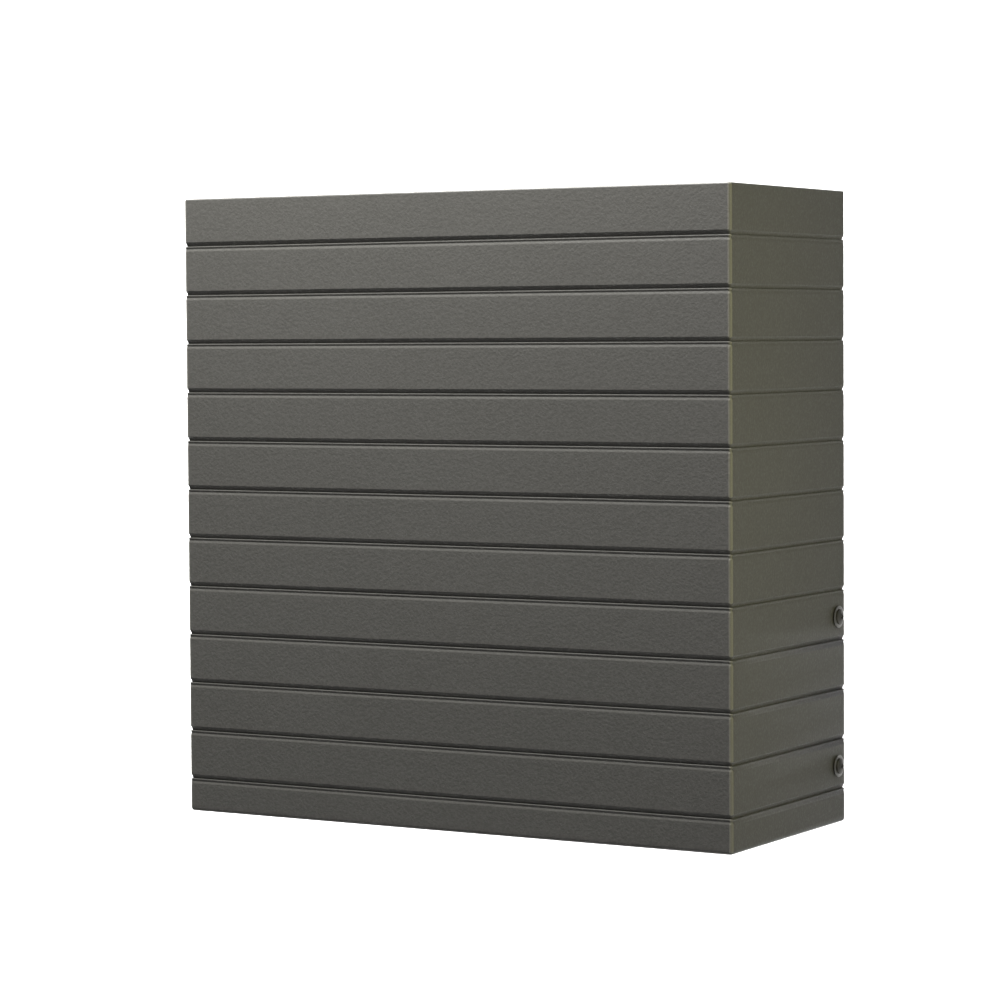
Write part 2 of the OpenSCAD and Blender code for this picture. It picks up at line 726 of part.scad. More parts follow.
module cell_shelf() color("#8e9294") place() difference() {
    union() {
        box([-shelf_x, shelf_front, shelf_z], [shelf_x, pan_front, shelf_z + shelf_t]);
        box([-shelf_x, pan_front - sheet_t, shelf_z - shelf_flange], [shelf_x, pan_front, shelf_z + 1]);
        for (side = [0, 1]) mirror([side, 0, 0])
            box([shelf_x - leg_t, shelf_front, panel_top], [shelf_x, shelf_front + leg_l, shelf_z + 1]);
    }
    at_rods() bar_z(rod_r + clear, 0, 2 * hood_h);
    for (x = flange_screw_x) translate([x, 0, shelf_screw_z]) bar_y(m4_hole_r, 2 * pan_front, 0);
}

// ---- Busbars ----

module busbar_carrier() color("#ece8dc") place() {
    difference() {
        box([-carrier_x, carrier_rear - carrier_t, cells_z], [carrier_x, carrier_rear, clamp_z]);
        at_terminals() bar_y(terminal_r + clear, -hood_d, 0);
        for (i = [0 : cell_count - 1]) at_cell(i) bar_y(vent_r + 1, -hood_d, 0);
    }
    for (x = post_x, z = post_z) translate([x, 0, z]) {
        bar_y(post_r, cover_rear, carrier_rear - carrier_t);
        bar_y(peg_r, cover_rear - peg_l, cover_rear);
    }
}

// Copper link between two points of X and Z, with a hole at each end
module link(a, b) translate([(a[0] + b[0]) / 2, 0, (a[1] + b[1]) / 2]) difference() {
    wall_plate(abs(b[0] - a[0]) + bar_w, abs(b[1] - a[1]) + bar_w, bar_r, bar_front, terminal_front);
    for (side = [-0.5, 0.5]) translate([side * (b[0] - a[0]), 0, side * (b[1] - a[1])])
        bar_y(bolt_r + clear, -hood_d, 0);
}

module cell_busbars() color("#c9814f") place() {
    for (i = [0 : cell_count - 2]) {
        side = cell_side(i);
        out = (i % 2 == 0) ? side * outer_terminal : side * inner_terminal;
        if (i == cell_rows - 1)
            link([-inner_terminal, row_z(i)], [inner_terminal, row_z(i)]);
        else
            link([out, row_z(cell_row(i))], [out, row_z(cell_row(i + 1))]);
    }
    link([-inner_terminal, row_z(0)], [-inner_terminal, pack_lug_z]);
    link([inner_terminal, row_z(0)], [fuse_x, fuse_z[1]]);
}

module busbar_screws() color("#b9bcbe") place() at_terminals() {
    bar_y(bolt_r, bar_front, bar_front + bolt_grip);
    translate([0, bar_front, 0]) rotate([90, 0, 0])
        cylinder(r = bolt_head_r, h = bolt_head_h, $fn = 6);
}

module busbar_cover() color([0.8, 0.88, 0.9, 0.35]) place() difference() {
    box([-carrier_x, cover_rear - cover_t, cells_z], [carrier_x, cover_rear, clamp_z]);
    for (x = post_x, z = post_z) translate([x, 0, z]) bar_y(peg_r + slip, -hood_d, 0);
}

// ---- Electronics ----

module bms_board() color("#1f5b3a") place() difference() {
    union() {
        box([bms_left, bms_front, bms_low], [bms_right, bms_rear, bms_high]);
        for (z = block_z)
            box([block_x - block_half, block_y, z - block_half],
                [block_x + block_half, bms_front + 1, z + block_half]);
    }
    for (p = bms_holes) translate([p[0], 0, p[1]]) bar_y(stub_r + slip, -hood_d, 0);
}

module board_standoffs() color("#d6b25a") place() {
    for (p = bms_holes) translate([p[0], 0, p[1]]) {
        bar_y(standoff_r, bms_rear, pan_front);
        bar_y(stub_r, bms_front - 1, bms_rear);
    }
    for (p = comm_holes) translate([p[0], p[1], 0]) {
        bar_z(standoff_r, panel_top, comm_z);
        bar_z(stub_r, comm_z, comm_z + pcb_t + 1);
    }
}

module bms_heatsink() color("#9fa3a5") place() {
    box([sink_left, sink_rear - sink_base, sink_low], [sink_left + sink_w, sink_rear, sink_low + sink_h]);
    for (i = [0 : fin_count - 1]) translate([sink_left + i * (sink_w - fin_t) / (fin_count - 1), 0, 0])
        box([0, sink_rear - sink_base - fin_l, sink_low],
            [fin_t, sink_rear - sink_base, sink_low + sink_h]);
    for (x = [6, sink_w - 6], z = [6, sink_h - 6]) translate([sink_left + x, 0, sink_low + z])
        bar_y(standoff_r, sink_rear, bms_front);
}

module main_breaker() color("#d9d9d4") place() translate([breaker_left, breaker_mid_y, 0]) difference() {
    union() {
        box([0, -breaker_l / 2, panel_top], [breaker_w, breaker_l / 2, panel_top + breaker_h]);
        box([0, -breaker_foot_l / 2, panel_top + breaker_h],
            [breaker_w, breaker_foot_l / 2, panel_top + breaker_h + breaker_foot_h]);
        box([0, -nose_l / 2, panel_z - nose_drop], [breaker_w, nose_l / 2, panel_top]);
    }
    translate([breaker_w / 2, 0, toggle_z]) {
        bar_x(toggle_r + clear, -toggle_half_w - clear, toggle_half_w + clear);
        bar_x(axle_r + running, -toggle_half_w - axle_l - clear, toggle_half_w + axle_l + clear);
        box([-toggle_half_w - clear, -toggle_gap_y, -hood_h], [toggle_half_w + clear, toggle_gap_y, 0]);
    }
}

module breaker_toggle() color("#2d5f3f") place()
    translate([breaker_left + breaker_w / 2, breaker_mid_y, toggle_z]) {
        bar_x(toggle_r, -toggle_half_w, toggle_half_w);
        bar_x(axle_r, -toggle_half_w - axle_l, toggle_half_w + axle_l);
        rotate([toggle_on, 0, 0])
            box([-lever_half_w, -lever_t / 2, -lever_l], [lever_half_w, lever_t / 2, -axle_r]);
    }

module fuse_holder() color("#26282a") place() translate([fuse_x, 0, 0]) {
    box([-fuse_half_w, fuse_base, panel_top], [fuse_half_w, fuse_rear, fuse_z[1] + fuse_post_h]);
    for (z = fuse_z) {
        box([-fuse_half_w, fuse_seat, z - fuse_post_h], [fuse_half_w, fuse_base, z + fuse_post_h]);
        translate([0, 0, z]) bar_y(fuse_stud_r, fuse_seat - fuse_stud_l, fuse_seat);
    }
}

module main_fuse() color("#e4e0d2") place() translate([fuse_x, fuse_seat - bar_t, 0]) difference() {
    union() {
        box([-blade_half_w, -blade_t, fuse_z[0] - fuse_post_h],
            [blade_half_w, 0, fuse_z[1] + fuse_post_h]);
        translate([0, -blade_t / 2, (fuse_z[0] + fuse_z[1]) / 2])
            bar_z(fuse_r, -fuse_half_l, fuse_half_l);
    }
    for (z = fuse_z) translate([0, 0, z]) bar_y(fuse_stud_r + slip, -hood_d, hood_d);
}

// Panel socket for one pole: square flange, shrouded barrel and locking collar
module power_socket(x) place() translate([x, socket_y, 0]) difference() {
    union() {
        box([-socket_flange, -socket_flange, panel_z - socket_flange_t],
            [socket_flange, socket_flange, panel_z]);
        bar_z(socket_r, socket_low, panel_z);
        bar_z(neck_r, panel_z, panel_top);
        bar_z(collar_r, panel_top, panel_top + collar_h);
    }
    bar_z(socket_r - socket_wall, 0, socket_floor);
    bar_z(contact_shank_r + running, 0, hood_h);
}
module socket_positive() color("#d8661d") power_socket(socket_x[0]);
module socket_negative() color("#1b1b1b") power_socket(socket_x[1]);

module socket_contacts() color("#d9b44a") place() for (x = socket_x) translate([x, socket_y, 0]) {
    bar_z(contact_r, contact_low, socket_floor);
    bar_z(contact_shank_r, socket_floor, contact_top);
    bar_z(contact_r + 3, panel_top + collar_h, panel_top + collar_h + 4);
}

module comm_board() color("#1f5b3a") place() difference() {
    box([comm_left, comm_front, comm_z], [comm_right, comm_rear, comm_z + pcb_t]);
    for (p = comm_holes) translate([p[0], p[1], 0]) bar_z(stub_r + slip, 0, hood_h);
}

module comm_ports() color("#1a1a1a") place() for (x = port_x) translate([x, port_y, 0]) difference() {
    box([-port_w / 2, -port_l / 2, port_low], [port_w / 2, port_l / 2, comm_z]);
    box([-port_hole_w / 2, -port_hole_l / 2, 0],
        [port_hole_w / 2, port_hole_l / 2, port_low + port_hole_h]);
}

module address_dial() color("#e3e1da") place() translate([dial_x, port_y, 0]) difference() {
    union() {
        bar_z(dial_r, dial_low, dial_low + dial_h);
        bar_z(dial_r / 2, dial_low + dial_h, comm_z);
    }
    box([-recess_w / 2, -dial_r, 0], [recess_w / 2, dial_r, dial_low + recess_w]);
    translate([0, -dial_r, 0]) box([-recess_w, 0, 0], [recess_w, dial_r / 2, dial_low + recess_w]);
}

module button_bezel() color("#b9bcbe") place() translate([button_x, button_y, 0]) difference() {
    union() {
        bar_z(bezel_r, bezel_low, panel_z);
        bar_z(barrel_r, panel_z, comm_z);
    }
    bar_z(button_r + running, 0, shoulder_z);
    bar_z(button_r + 1.5, shoulder_z, comm_z - 2);
}

module power_button() color("#2b2b2b") place() translate([button_x, button_y, 0]) {
    bar_z(button_r, bezel_low - button_travel / 2, shoulder_z + collar_t + button_travel);
    bar_z(button_r + 1.2, shoulder_z, shoulder_z + collar_t);
}

module status_lights() color("#9fd6a4") place() for (x = light_x) translate([x, light_y, 0]) {
    bar_z(light_r, panel_z - 1.2, comm_z);
}

module port_flap() color([0.25, 0.26, 0.28]) place() difference() {
    union() {
        box([flap_left, flap_front, flap_low], [flap_right, flap_axis_y, flap_low + flap_t]);
        translate([0, flap_axis_y, flap_axis_z]) bar_x(knuckle_r, flap_left, flap_right);
        box([flap_left + 20, flap_front - 4, flap_low], [flap_right - 20, flap_front, flap_low + flap_t]);
    }
    translate([0, flap_axis_y, flap_axis_z]) bar_x(flap_pin_d / 2 + running, -hood_w, hood_w);
}

module flap_pin() color("#c8cacc") place() translate([0, flap_axis_y, flap_axis_z])
    bar_x(flap_pin_d / 2, flap_left - ear_gap - ear_t, flap_right + ear_gap + ear_t);

module cable_gland() color("#2a2a2a") place() translate([gland_x, gland_y, 0]) difference() {
    union() {
        bar_z(gland_tail_r, gland_low, panel_z - gland_hex_h);
        translate([0, 0, panel_z - gland_hex_h]) cylinder(r = gland_hex_r, h = gland_hex_h, $fn = 6);
        bar_z(gland_thread_r, panel_z, panel_top + 10);
    }
    bar_z(gland_bore_d / 2, 0, hood_h);
}

module gland_nut() color("#2a2a2a") place() translate([gland_x, gland_y, 0]) difference() {
    translate([0, 0, gland_nut_low])
        cylinder(r = gland_nut_r, h = gland_nut_top - gland_nut_low, $fn = 6);
    bar_z(gland_bore_d / 2 + 1, 0, hood_h);
    bar_z(gland_tail_r + clear, gland_low - clear, hood_h);
}

module earth_stud() color("#c9a648") place() translate([earth_x, earth_y, 0]) {
    bar_z(earth_r, earth_low, panel_top + earth_nut_h + 2);
    translate([0, 0, panel_z - earth_nut_h]) cylinder(r = earth_nut_r, h = earth_nut_h, $fn = 6);
    difference() {
        translate([0, 0, panel_top]) cylinder(r = earth_nut_r, h = earth_nut_h, $fn = 6);
        bar_z(earth_r + running, 0, hood_h);
    }
}

module pressure_vent() color("#2a2a2a") place() translate([vent_x, vent_y, 0]) difference() {
    union() {
        bar_z(vent_cap_r, panel_z - vent_cap_h, panel_z);
        bar_z(vent_thread_r, panel_z, panel_top + 10);
    }
    for (a = [0 : 45 : 359]) rotate([0, 0, a])
        box([vent_thread_r + 1, -1, panel_z - 4], [2 * vent_cap_r, 1, panel_z - 2]);
}

module power_cables() color("#1c1c1c") place() {
    difference() {
        box([fuse_x - 8, fuse_seat - bar_t, fuse_z[0] - 7], [fuse_x + 18, fuse_seat, fuse_z[0] + 7]);
        translate([fuse_x, 0, fuse_z[0]]) bar_y(fuse_stud_r + slip, -hood_d, 0);
    }
    cable(fuse_cable, cable_r, [0, 0, 1], [1, 0, 0], [0, 1, 0]);
    cable(plus_cable, cable_r, unit([1, -1, 1]), [0, 1, 0], [0, 0, -1]);
    cable(minus_cable, cable_r, unit([1, 1, 1]), [1, 0, 0], [0, 0, -1]);
    cable(pack_cable, cable_r, [0, 0, 1], [0, 1, 0], [0, 1, 0]);
}

wall_bracket();
back_pan();
hang_rail();
chassis_screws();
rear_bumpers();
rim_gasket();
rivet_nuts();
dowel_bushes();
hood();
hood_dowels();
hood_screw_1();
hood_screw_2();
hood_screw_3();
hood_screw_4();
screw_washers();
screw_seals();
base_panel();
base_seal();
cell_1();
cell_2();
cell_3();
cell_4();
cell_5();
cell_6();
cell_7();
cell_8();
cell_lids();
cell_terminals();
cell_spacers();
cell_clamp();
tie_rods();
tie_nuts();
cell_shelf();
busbar_carrier();
cell_busbars();
busbar_screws();
busbar_cover();
bms_board();
board_standoffs();
bms_heatsink();
main_breaker();
breaker_toggle();
fuse_holder();
main_fuse();
socket_positive();
socket_negative();
socket_contacts();
comm_board();
comm_ports();
address_dial();
power_button();
button_bezel();
status_lights();
port_flap();
flap_pin();
cable_gland();
gland_nut();
earth_stud();
pressure_vent();
power_cables();
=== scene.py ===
"""Finishes the wall battery unit in Blender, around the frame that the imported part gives."""

import json
from math import asin, cos, pi, radians, sin

import bmesh
import bpy
from mathutils import Matrix, Vector


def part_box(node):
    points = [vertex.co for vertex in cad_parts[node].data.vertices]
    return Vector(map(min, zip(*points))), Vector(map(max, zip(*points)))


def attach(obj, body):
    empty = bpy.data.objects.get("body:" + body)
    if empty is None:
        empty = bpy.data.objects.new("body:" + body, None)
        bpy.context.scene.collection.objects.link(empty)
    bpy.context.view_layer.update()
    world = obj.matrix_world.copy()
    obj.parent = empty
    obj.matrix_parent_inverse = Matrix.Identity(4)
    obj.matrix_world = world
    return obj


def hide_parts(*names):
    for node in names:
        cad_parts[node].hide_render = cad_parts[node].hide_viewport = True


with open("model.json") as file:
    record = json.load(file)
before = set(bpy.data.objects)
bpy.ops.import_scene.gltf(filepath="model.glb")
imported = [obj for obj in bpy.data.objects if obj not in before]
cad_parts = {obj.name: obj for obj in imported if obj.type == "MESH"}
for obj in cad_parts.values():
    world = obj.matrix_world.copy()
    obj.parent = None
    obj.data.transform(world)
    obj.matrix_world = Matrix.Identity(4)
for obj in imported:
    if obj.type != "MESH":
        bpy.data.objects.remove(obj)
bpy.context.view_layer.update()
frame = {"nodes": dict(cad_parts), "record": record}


# ---- Camera ----
# It stands to the right of the unit at mid height, far off with a long lens, so that the front
# and the right side are seen with little perspective.
camera_at = (1.075, -1.9115, -0.0141)
heading = radians(30.61)
dip = radians(2.87)
roll = radians(-0.36)
lens = bpy.data.cameras.new("camera")
lens.lens = 118.88
camera = bpy.data.objects.new("camera", lens)
camera.matrix_world = (
    Matrix.Translation(camera_at)
    @ Matrix.Rotation(heading, 4, "Z")
    @ Matrix.Rotation(radians(90) - dip, 4, "X")
    @ Matrix.Rotation(roll, 4, "Z")
)
bpy.context.collection.objects.link(camera)
bpy.context.scene.camera = camera


# ---- Hood ----
# The slatted cover of the battery: a die-cast aluminium box without a back or a bottom, in a
# textured powder coat. Twelve grooves run round its front and sides and part it into slats. Two
# lugs under the roof hold its dowels, and four slots let it slide forward off its screws.
MM = 0.001
hood_low, hood_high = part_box("hood")
slat_pitch = 31.6 * MM
groove_count = 12
hood_wall = 3.5 * MM
corner_r = 2.4 * MM
top_r = 1.2 * MM
bottom_r = 2.4 * MM
arc_steps = 8
weld = 0.001 * MM
# One groove from its upper to its lower lip: how deep, and the height from its middle, in mm
groove_points = ((0, 3.85), (0, 3.55), (0.12, 3.3), (0.9, 2.1), (1.18, 0.95), (1.2, 0.75),
                 (0.2, 0.66), (0.08, 0.58), (0.08, -0.05), (0.3, -0.5), (0.34, -0.95),
                 (0.3, -1.15), (0.07, -2.1), (0, -2.5), (0, -3.0))
screw_low, screw_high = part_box("hood_screw_1")
screw_y = (screw_low.y + screw_high.y) / 2
screw_z = [(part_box(name)[0].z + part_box(name)[1].z) / 2 for name in ("hood_screw_1", "hood_screw_2")]
slot_r = 2.75 * MM
slot_reach = 20 * MM
# Painted highlight on the hood's upright corners: how far in from the corner it starts, and where it is
# full
painted_highlight_from = 2.35 * MM
painted_highlight_to = 1.6 * MM
powder_colour = (0.072, 0.0705, 0.064, 1)
powder_light = (0.098, 0.096, 0.089, 1)
# The lighter colour of the painted highlight on the hood's upright corners
powder_painted_highlight = (0.27, 0.262, 0.235, 1)
bodies = {node: body for body, nodes in frame["record"]["behaviour"]["bodies"].items()
          for node in nodes}


class Level:
    """An output in a tree of nodes. Sums and products with it add Math nodes."""

    def __init__(self, tree, output=None):
        self.tree = tree
        self.output = output

    def node(self, kind, settings=None, sockets=None, give=0):
        """Adds a node: its settings first, then the values or links of its sockets."""
        added = self.tree.nodes.new(kind)
        for name, value in (settings or {}).items():
            setattr(added, name, value)
        for name, value in (sockets or {}).items():
            if isinstance(value, Level):
                self.tree.links.new(value.output, added.inputs[name])
            else:
                added.inputs[name].default_value = value
        return Level(self.tree, added.outputs[give])

    def sum(self, operation, first, second=0.0):
        return self.node("ShaderNodeMath", {"operation": operation}, {0: first, 1: second})

    def __add__(self, other):
        return self.sum("ADD", self, other)

    def __radd__(self, other):
        return self.sum("ADD", other, self)

    def __sub__(self, other):
        return self.sum("SUBTRACT", self, other)

    def __rsub__(self, other):
        return self.sum("SUBTRACT", other, self)

    def __mul__(self, other):
        return self.sum("MULTIPLY", self, other)

    def __rmul__(self, other):
        return self.sum("MULTIPLY", other, self)

    def vector(self, operation, *others, give="Vector"):
        """Works on this as a vector, with the others after it."""
        return self.node("ShaderNodeVectorMath", {"operation": operation},
                         dict(enumerate((self, *others))), give)

    def step(self, low, high):
        """0 below low, 1 above high and smooth between them."""
        return self.node("ShaderNodeMapRange", {"interpolation_type": "SMOOTHSTEP"},
                         {"Value": self, "From Min": low, "From Max": high})

    def blend(self, low, high):
        """The colour low where this is 0 and high where it is 1."""
        return self.node("ShaderNodeMix", {"data_type": "RGBA"}, {0: self, 6: low, 7: high}, 2)

    def noise(self, scale, detail=2.0, roughness=0.5, stretch=None):
        """Smooth noise over this place, from 0 to 1, with scale bumps to a metre."""
        place = self.vector("MULTIPLY", stretch) if stretch else self
        return self.node("ShaderNodeTexNoise", None, {
            "Vector": place, "Scale": scale, "Detail": detail, "Roughness": roughness})

    def grains(self, scale, give="Distance", feature="F1"):
        """Cells scattered over this place, with scale of them to a metre."""
        return self.node("ShaderNodeTexVoronoi", {"feature": feature},
                         {"Vector": self, "Scale": scale}, give)

    def axis(self, name):
        return self.node("ShaderNodeSeparateXYZ", None, {0: self}, name)

    def relief(self, distance, strength=1.0):
        """The normal of a surface that rises and falls with this height."""
        return self.node("ShaderNodeBump", None,
                         {"Height": self, "Distance": distance, "Strength": strength}, "Normal")


def new_finish(name, **constants):
    """A finish with one shader. Constants sit on its sockets, and place is where a point is."""
    material = bpy.data.materials.new(name)
    material.use_nodes = True
    shader = material.node_tree.nodes["Principled BSDF"]
    for socket, value in constants.items():
        shader.inputs[socket.replace("_", " ").title().replace("Ior", "IOR")].default_value = value
    place = Level(material.node_tree).node("ShaderNodeTexCoord", give="Object")
    return material, place


def coat(material, **levels):
    """Feeds what varies over the surface to the shader of a finish, and returns the finish."""
    shader = material.node_tree.nodes["Principled BSDF"]
    for socket, level in levels.items():
        material.node_tree.links.new(level.output, shader.inputs[socket.replace("_", " ")])
    return material


def powder_coat(name, colour, light, grain, painted_highlight_colour=None):
    """Textured powder coat: baked grains with fine pores, and, when a colour is given, a lighter
    painted highlight along the upright corners.
    """
    material, place = new_finish(name, specular_ior_level=0.42)
    swirl = place.node("ShaderNodeTexNoise", None, {"Vector": place, "Scale": grain}, "Color")
    warped = swirl.vector("MULTIPLY_ADD", (0.4 / grain,) * 3, place)
    bumps = warped.noise(grain, 2.5, 0.55)
    fine = place.noise(grain * 3.1, 1.5)
    height = bumps + 0.22 * fine
    cloud = place.noise(9, 3, 0.6)
    tone = (bumps.step(0.32, 0.72) * 0.62 + cloud * 0.38).blend(colour, light)
    # Painted highlight: a lighter colour along the upright corners stands for the light their rounding
    # catches, not for wear
    if painted_highlight_colour:
        across = place.sum("ABSOLUTE", place.axis("X")) + place.axis("Y") * -1
        corner = hood_high.x - hood_low.y
        edge = across.step(corner - painted_highlight_from, corner - painted_highlight_to)
        tone = (edge * (0.6 + 0.5 * fine)).blend(tone, painted_highlight_colour)
    return coat(material, Base_Color=tone,
                Roughness=0.47 - 0.1 * bumps.step(0.5, 0.75) + 0.05 * fine,
                Normal=height.relief(0.9 / grain, 0.16))


def made(name, shape, finish, sharp=35):
    """An object from a shape of faces, smooth but for the edges sharper than an angle."""
    mesh = bpy.data.meshes.new(name)
    shape.to_mesh(mesh)
    shape.free()
    mesh.materials.append(finish)
    mesh.shade_smooth()
    mesh.set_sharp_from_angle(angle=radians(sharp))
    piece = bpy.data.objects.new(name, mesh)
    bpy.context.collection.objects.link(piece)
    return piece


def settled(piece):
    """The piece with what its modifiers make turned into its own plain mesh."""
    graph = bpy.context.evaluated_depsgraph_get()
    mesh = bpy.data.meshes.new_from_object(
        piece.evaluated_get(graph), preserve_all_data_layers=True, depsgraph=graph)
    piece.modifiers.clear()
    piece.data = mesh
    mesh.name = piece.name
    return piece


def even(piece):
    """Keeps the flat faces of a smooth piece flat in the light."""
    weights = piece.modifiers.new("even", "WEIGHTED_NORMAL")
    weights.keep_sharp = True
    return settled(piece)


def stands_for(piece, node):
    """The piece takes the place and the body of a node of the frame."""
    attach(piece, bodies[node])
    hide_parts(node)


def mm(points):
    """Points that are given in millimetres, in metres."""
    return [tuple(n * MM for n in point) for point in points]


def softened(points):
    """Points of a line through given points with its corners cut off."""
    line = [Vector(points[0])]
    for a, b in zip(points, points[1:]):
        line += [Vector(a).lerp(Vector(b), 0.25), Vector(a).lerp(Vector(b), 0.75)]
    return line + [Vector(points[-1])]


def plan_line(inset):
    """The hood's outline from above, this far in from its skin, from right rear to left rear."""
    half = hood_high.x - inset
    front = hood_low.y + inset
    radius = max(corner_r - inset, 0.4 * MM)
    line = [(half, hood_high.y)]
    for middle, first in ((half - radius, 0), (radius - half, 90)):
        for step in range(arc_steps + 1):
            turn = radians(first + 90 * step / arc_steps)
            line.append((middle + radius * cos(turn), front + radius * (1 - sin(turn))))
    return line + [(-half, hood_high.y)]


def laid(shape, rows, ends=1):
    """Lays faces between rows of corners. With no ends, each row runs on into its start."""
    for a, b in zip(rows, rows[1:]):
        for k in range(len(a) - ends):
            m = (k + 1) % len(a)
            shape.faces.new((a[k], a[m], b[m], b[k]))
    return rows


def skin(shape, profile):
    """Lays faces round the hood along a profile of insets and heights. Returns its rows."""
    return laid(shape, [[shape.verts.new((x, y, height)) for x, y in plan_line(inset)]
                        for inset, height in profile])


def joined(shapes):
    """One shape out of several, which are used up."""
    whole = bmesh.new()
    for shape in shapes:
        mesh = bpy.data.meshes.new("shape")
        shape.to_mesh(mesh)
        shape.free()
        whole.from_mesh(mesh)
        bpy.data.meshes.remove(mesh)
    return whole


def copy_of(piece):
    """The shape of a piece, which is used up, to be placed or joined again."""
    shape = bmesh.new()
    shape.from_mesh(piece.data)
    bpy.data.objects.remove(piece)
    return shape


def new_tree(name, **inputs):
    """A tree of geometry nodes, with its input sockets and what each of them gives."""
    tree = bpy.data.node_groups.new(name, "GeometryNodeTree")
    sockets = [tree.interface.new_socket(label, in_out="INPUT", socket_type="NodeSocket" + kind)
               for label, kind in inputs.items()]
    tree.interface.new_socket("Result", in_out="OUTPUT", socket_type="NodeSocketGeometry")
    given = tree.nodes.new("NodeGroupInput")
    return tree, sockets, [Level(tree, given.outputs[label]) for label in inputs]


def painted(shape, finish):
    """Ends a tree: its shape takes the finish and goes out."""
    paint = shape.node("GeometryNodeSetMaterial", None, {"Geometry": shape, "Material": finish})
    paint.tree.links.new(paint.output, paint.tree.nodes.new("NodeGroupOutput").inputs[0])


def slat_tree():
    """Node tree that stacks one groove with its half slats into a wall of slats."""
    tree, sockets, (groove, count, pitch, top, finish) = new_tree(
        "slats", Groove="Geometry", Grooves="Int", Pitch="Float", Top="Float", Finish="Material")
    start = top.node("ShaderNodeCombineXYZ", None, {"Z": top})
    offset = pitch.node("ShaderNodeCombineXYZ", None, {"Z": pitch * -1})
    line = start.node("GeometryNodeMeshLine", None,
                      {"Count": count, "Start Location": start, "Offset": offset})
    spread = line.node("GeometryNodeInstanceOnPoints", None, {"Points": line, "Instance": groove})
    real = spread.node("GeometryNodeRealizeInstances", None, {0: spread})
    merged = real.node("GeometryNodeMergeByDistance", None, {0: real, "Distance": weld})
    painted(merged, finish)
    return tree, sockets[1:]


def with_tree(piece, tree, sockets, values):
    """The piece after a node tree with these inputs has worked on it."""
    grow = piece.modifiers.new(tree.name, "NODES")
    grow.node_group = tree
    for socket, value in zip(sockets, values):
        grow[socket.identifier] = value
    return settled(piece)


def hood_skin(finish):
    """The whole hood as one closed shape, without its slots and lugs."""
    groove = bmesh.new()
    half = slat_pitch / 2
    skin(groove, [(0, half)] + mm(softened(groove_points)) + [(0, -half)])
    piece = made("hood_looks", groove, finish)
    tree, sockets = slat_tree()
    first = hood_high.z - slat_pitch
    with_tree(piece, tree, sockets, (groove_count, slat_pitch, first, finish))
    shape = copy_of(piece)
    arc = [radians(90 * step / arc_steps) for step in range(arc_steps + 1)]
    top = skin(shape, [(top_r * (1 - sin(a)), hood_high.z - top_r * (1 - cos(a)))
                       for a in arc] + [(0, first + half)])[0]
    last = first - (groove_count - 0.5) * slat_pitch
    bottom = skin(shape, [(0, last)] + [
        (bottom_r * (1 - cos(a)), hood_low.z + bottom_r * (1 - sin(a))) for a in arc])[-1]
    inner = skin(shape, [(hood_wall, hood_low.z), (hood_wall, hood_high.z - hood_wall)])
    shape.faces.new(top)
    shape.faces.new(list(reversed(inner[1])))
    laid(shape, [bottom, inner[0]])
    bmesh.ops.remove_doubles(shape, verts=shape.verts, dist=weld)
    rim = [edge for edge in shape.edges if edge.is_boundary]
    bmesh.ops.contextual_create(shape, geom=rim)
    bmesh.ops.recalc_face_normals(shape, faces=shape.faces)
    return shape


def pill(length, reach, radius, middle):
    """A flat-sided round-ended cutter: through X, and from its middle back along Y."""
    turns = [radians(a) for a in range(0, 181, 15)]
    ring = [(middle.y - radius * sin(a), middle.z + radius * cos(a)) for a in turns]
    ring += [(middle.y + reach, middle.z - radius), (middle.y + reach, middle.z + radius)]
    shape = bmesh.new()
    near, far = ([shape.verts.new((middle.x + side * length / 2, y, z)) for y, z in ring]
                 for side in (-1, 1))
    shape.faces.new(near)
    shape.faces.new(list(reversed(far)))
    for k in range(len(ring)):
        m = (k + 1) % len(ring)
        shape.faces.new((near[m], near[k], far[k], far[m]))
    bmesh.ops.recalc_face_normals(shape, faces=shape.faces)
    return shape


def cut(piece, cutters):
    """Takes the cutter shapes out of a piece."""
    tool = made("cutter", joined(cutters), piece.data.materials[0])
    taken = piece.modifiers.new("taken", "BOOLEAN")
    taken.operation = "DIFFERENCE"
    taken.solver = "EXACT"
    taken.object = tool
    settled(piece)
    bpy.data.objects.remove(tool)
    return piece


def block(low, high):
    """A box between two corners, for shapes that are eased or joined afterwards."""
    shape = bmesh.new()
    bmesh.ops.create_cube(shape, size=1)
    for vert in shape.verts:
        vert.co = Vector([low[k] + (vert.co[k] + 0.5) * (high[k] - low[k]) for k in range(3)])
    return shape


def eased(piece, width, steps=2, angle=35):
    """Rounds the piece's edges by a small width, as moulded, cast or broken edges are."""
    ease = piece.modifiers.new("eased", "BEVEL")
    ease.width = width
    ease.segments = steps
    ease.limit_method = "ANGLE"
    ease.angle_limit = radians(angle)
    ease.harden_normals = True
    settled(piece)
    return even(piece)


# The hood's coat carries the painted highlight along its upright corners
powder = powder_coat("hood_powder_coat", powder_colour, powder_light, 620, powder_painted_highlight)
hood = made("hood_shell", hood_skin(powder), powder)
cut(hood, [pill(4 * hood_wall, slot_reach, slot_r, Vector((side * hood_high.x, screw_y, z)))
           for side in (-1, 1) for z in screw_z])
even(hood)
dowel_low, dowel_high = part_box("hood_dowels")
dowel_r = (dowel_high.z - dowel_low.z) / 2
dowel_x = dowel_high.x - dowel_r
dowel_z = (dowel_high.z + dowel_low.z) / 2
lug_half = 7 * MM
lug_l = 16 * MM
lug_root = 0.5 * MM
lugs = []
for side in (-1, 1):
    lug = made("lug", block((side * dowel_x - lug_half, dowel_low.y, dowel_z - lug_half),
                            (side * dowel_x + lug_half, dowel_low.y + lug_l,
                             hood_high.z - hood_wall + lug_root)), powder)
    lugs.append(eased(lug, 1.2 * MM, 3))
hood = even(made("hood_looks", joined([copy_of(piece) for piece in [hood] + lugs]), powder))
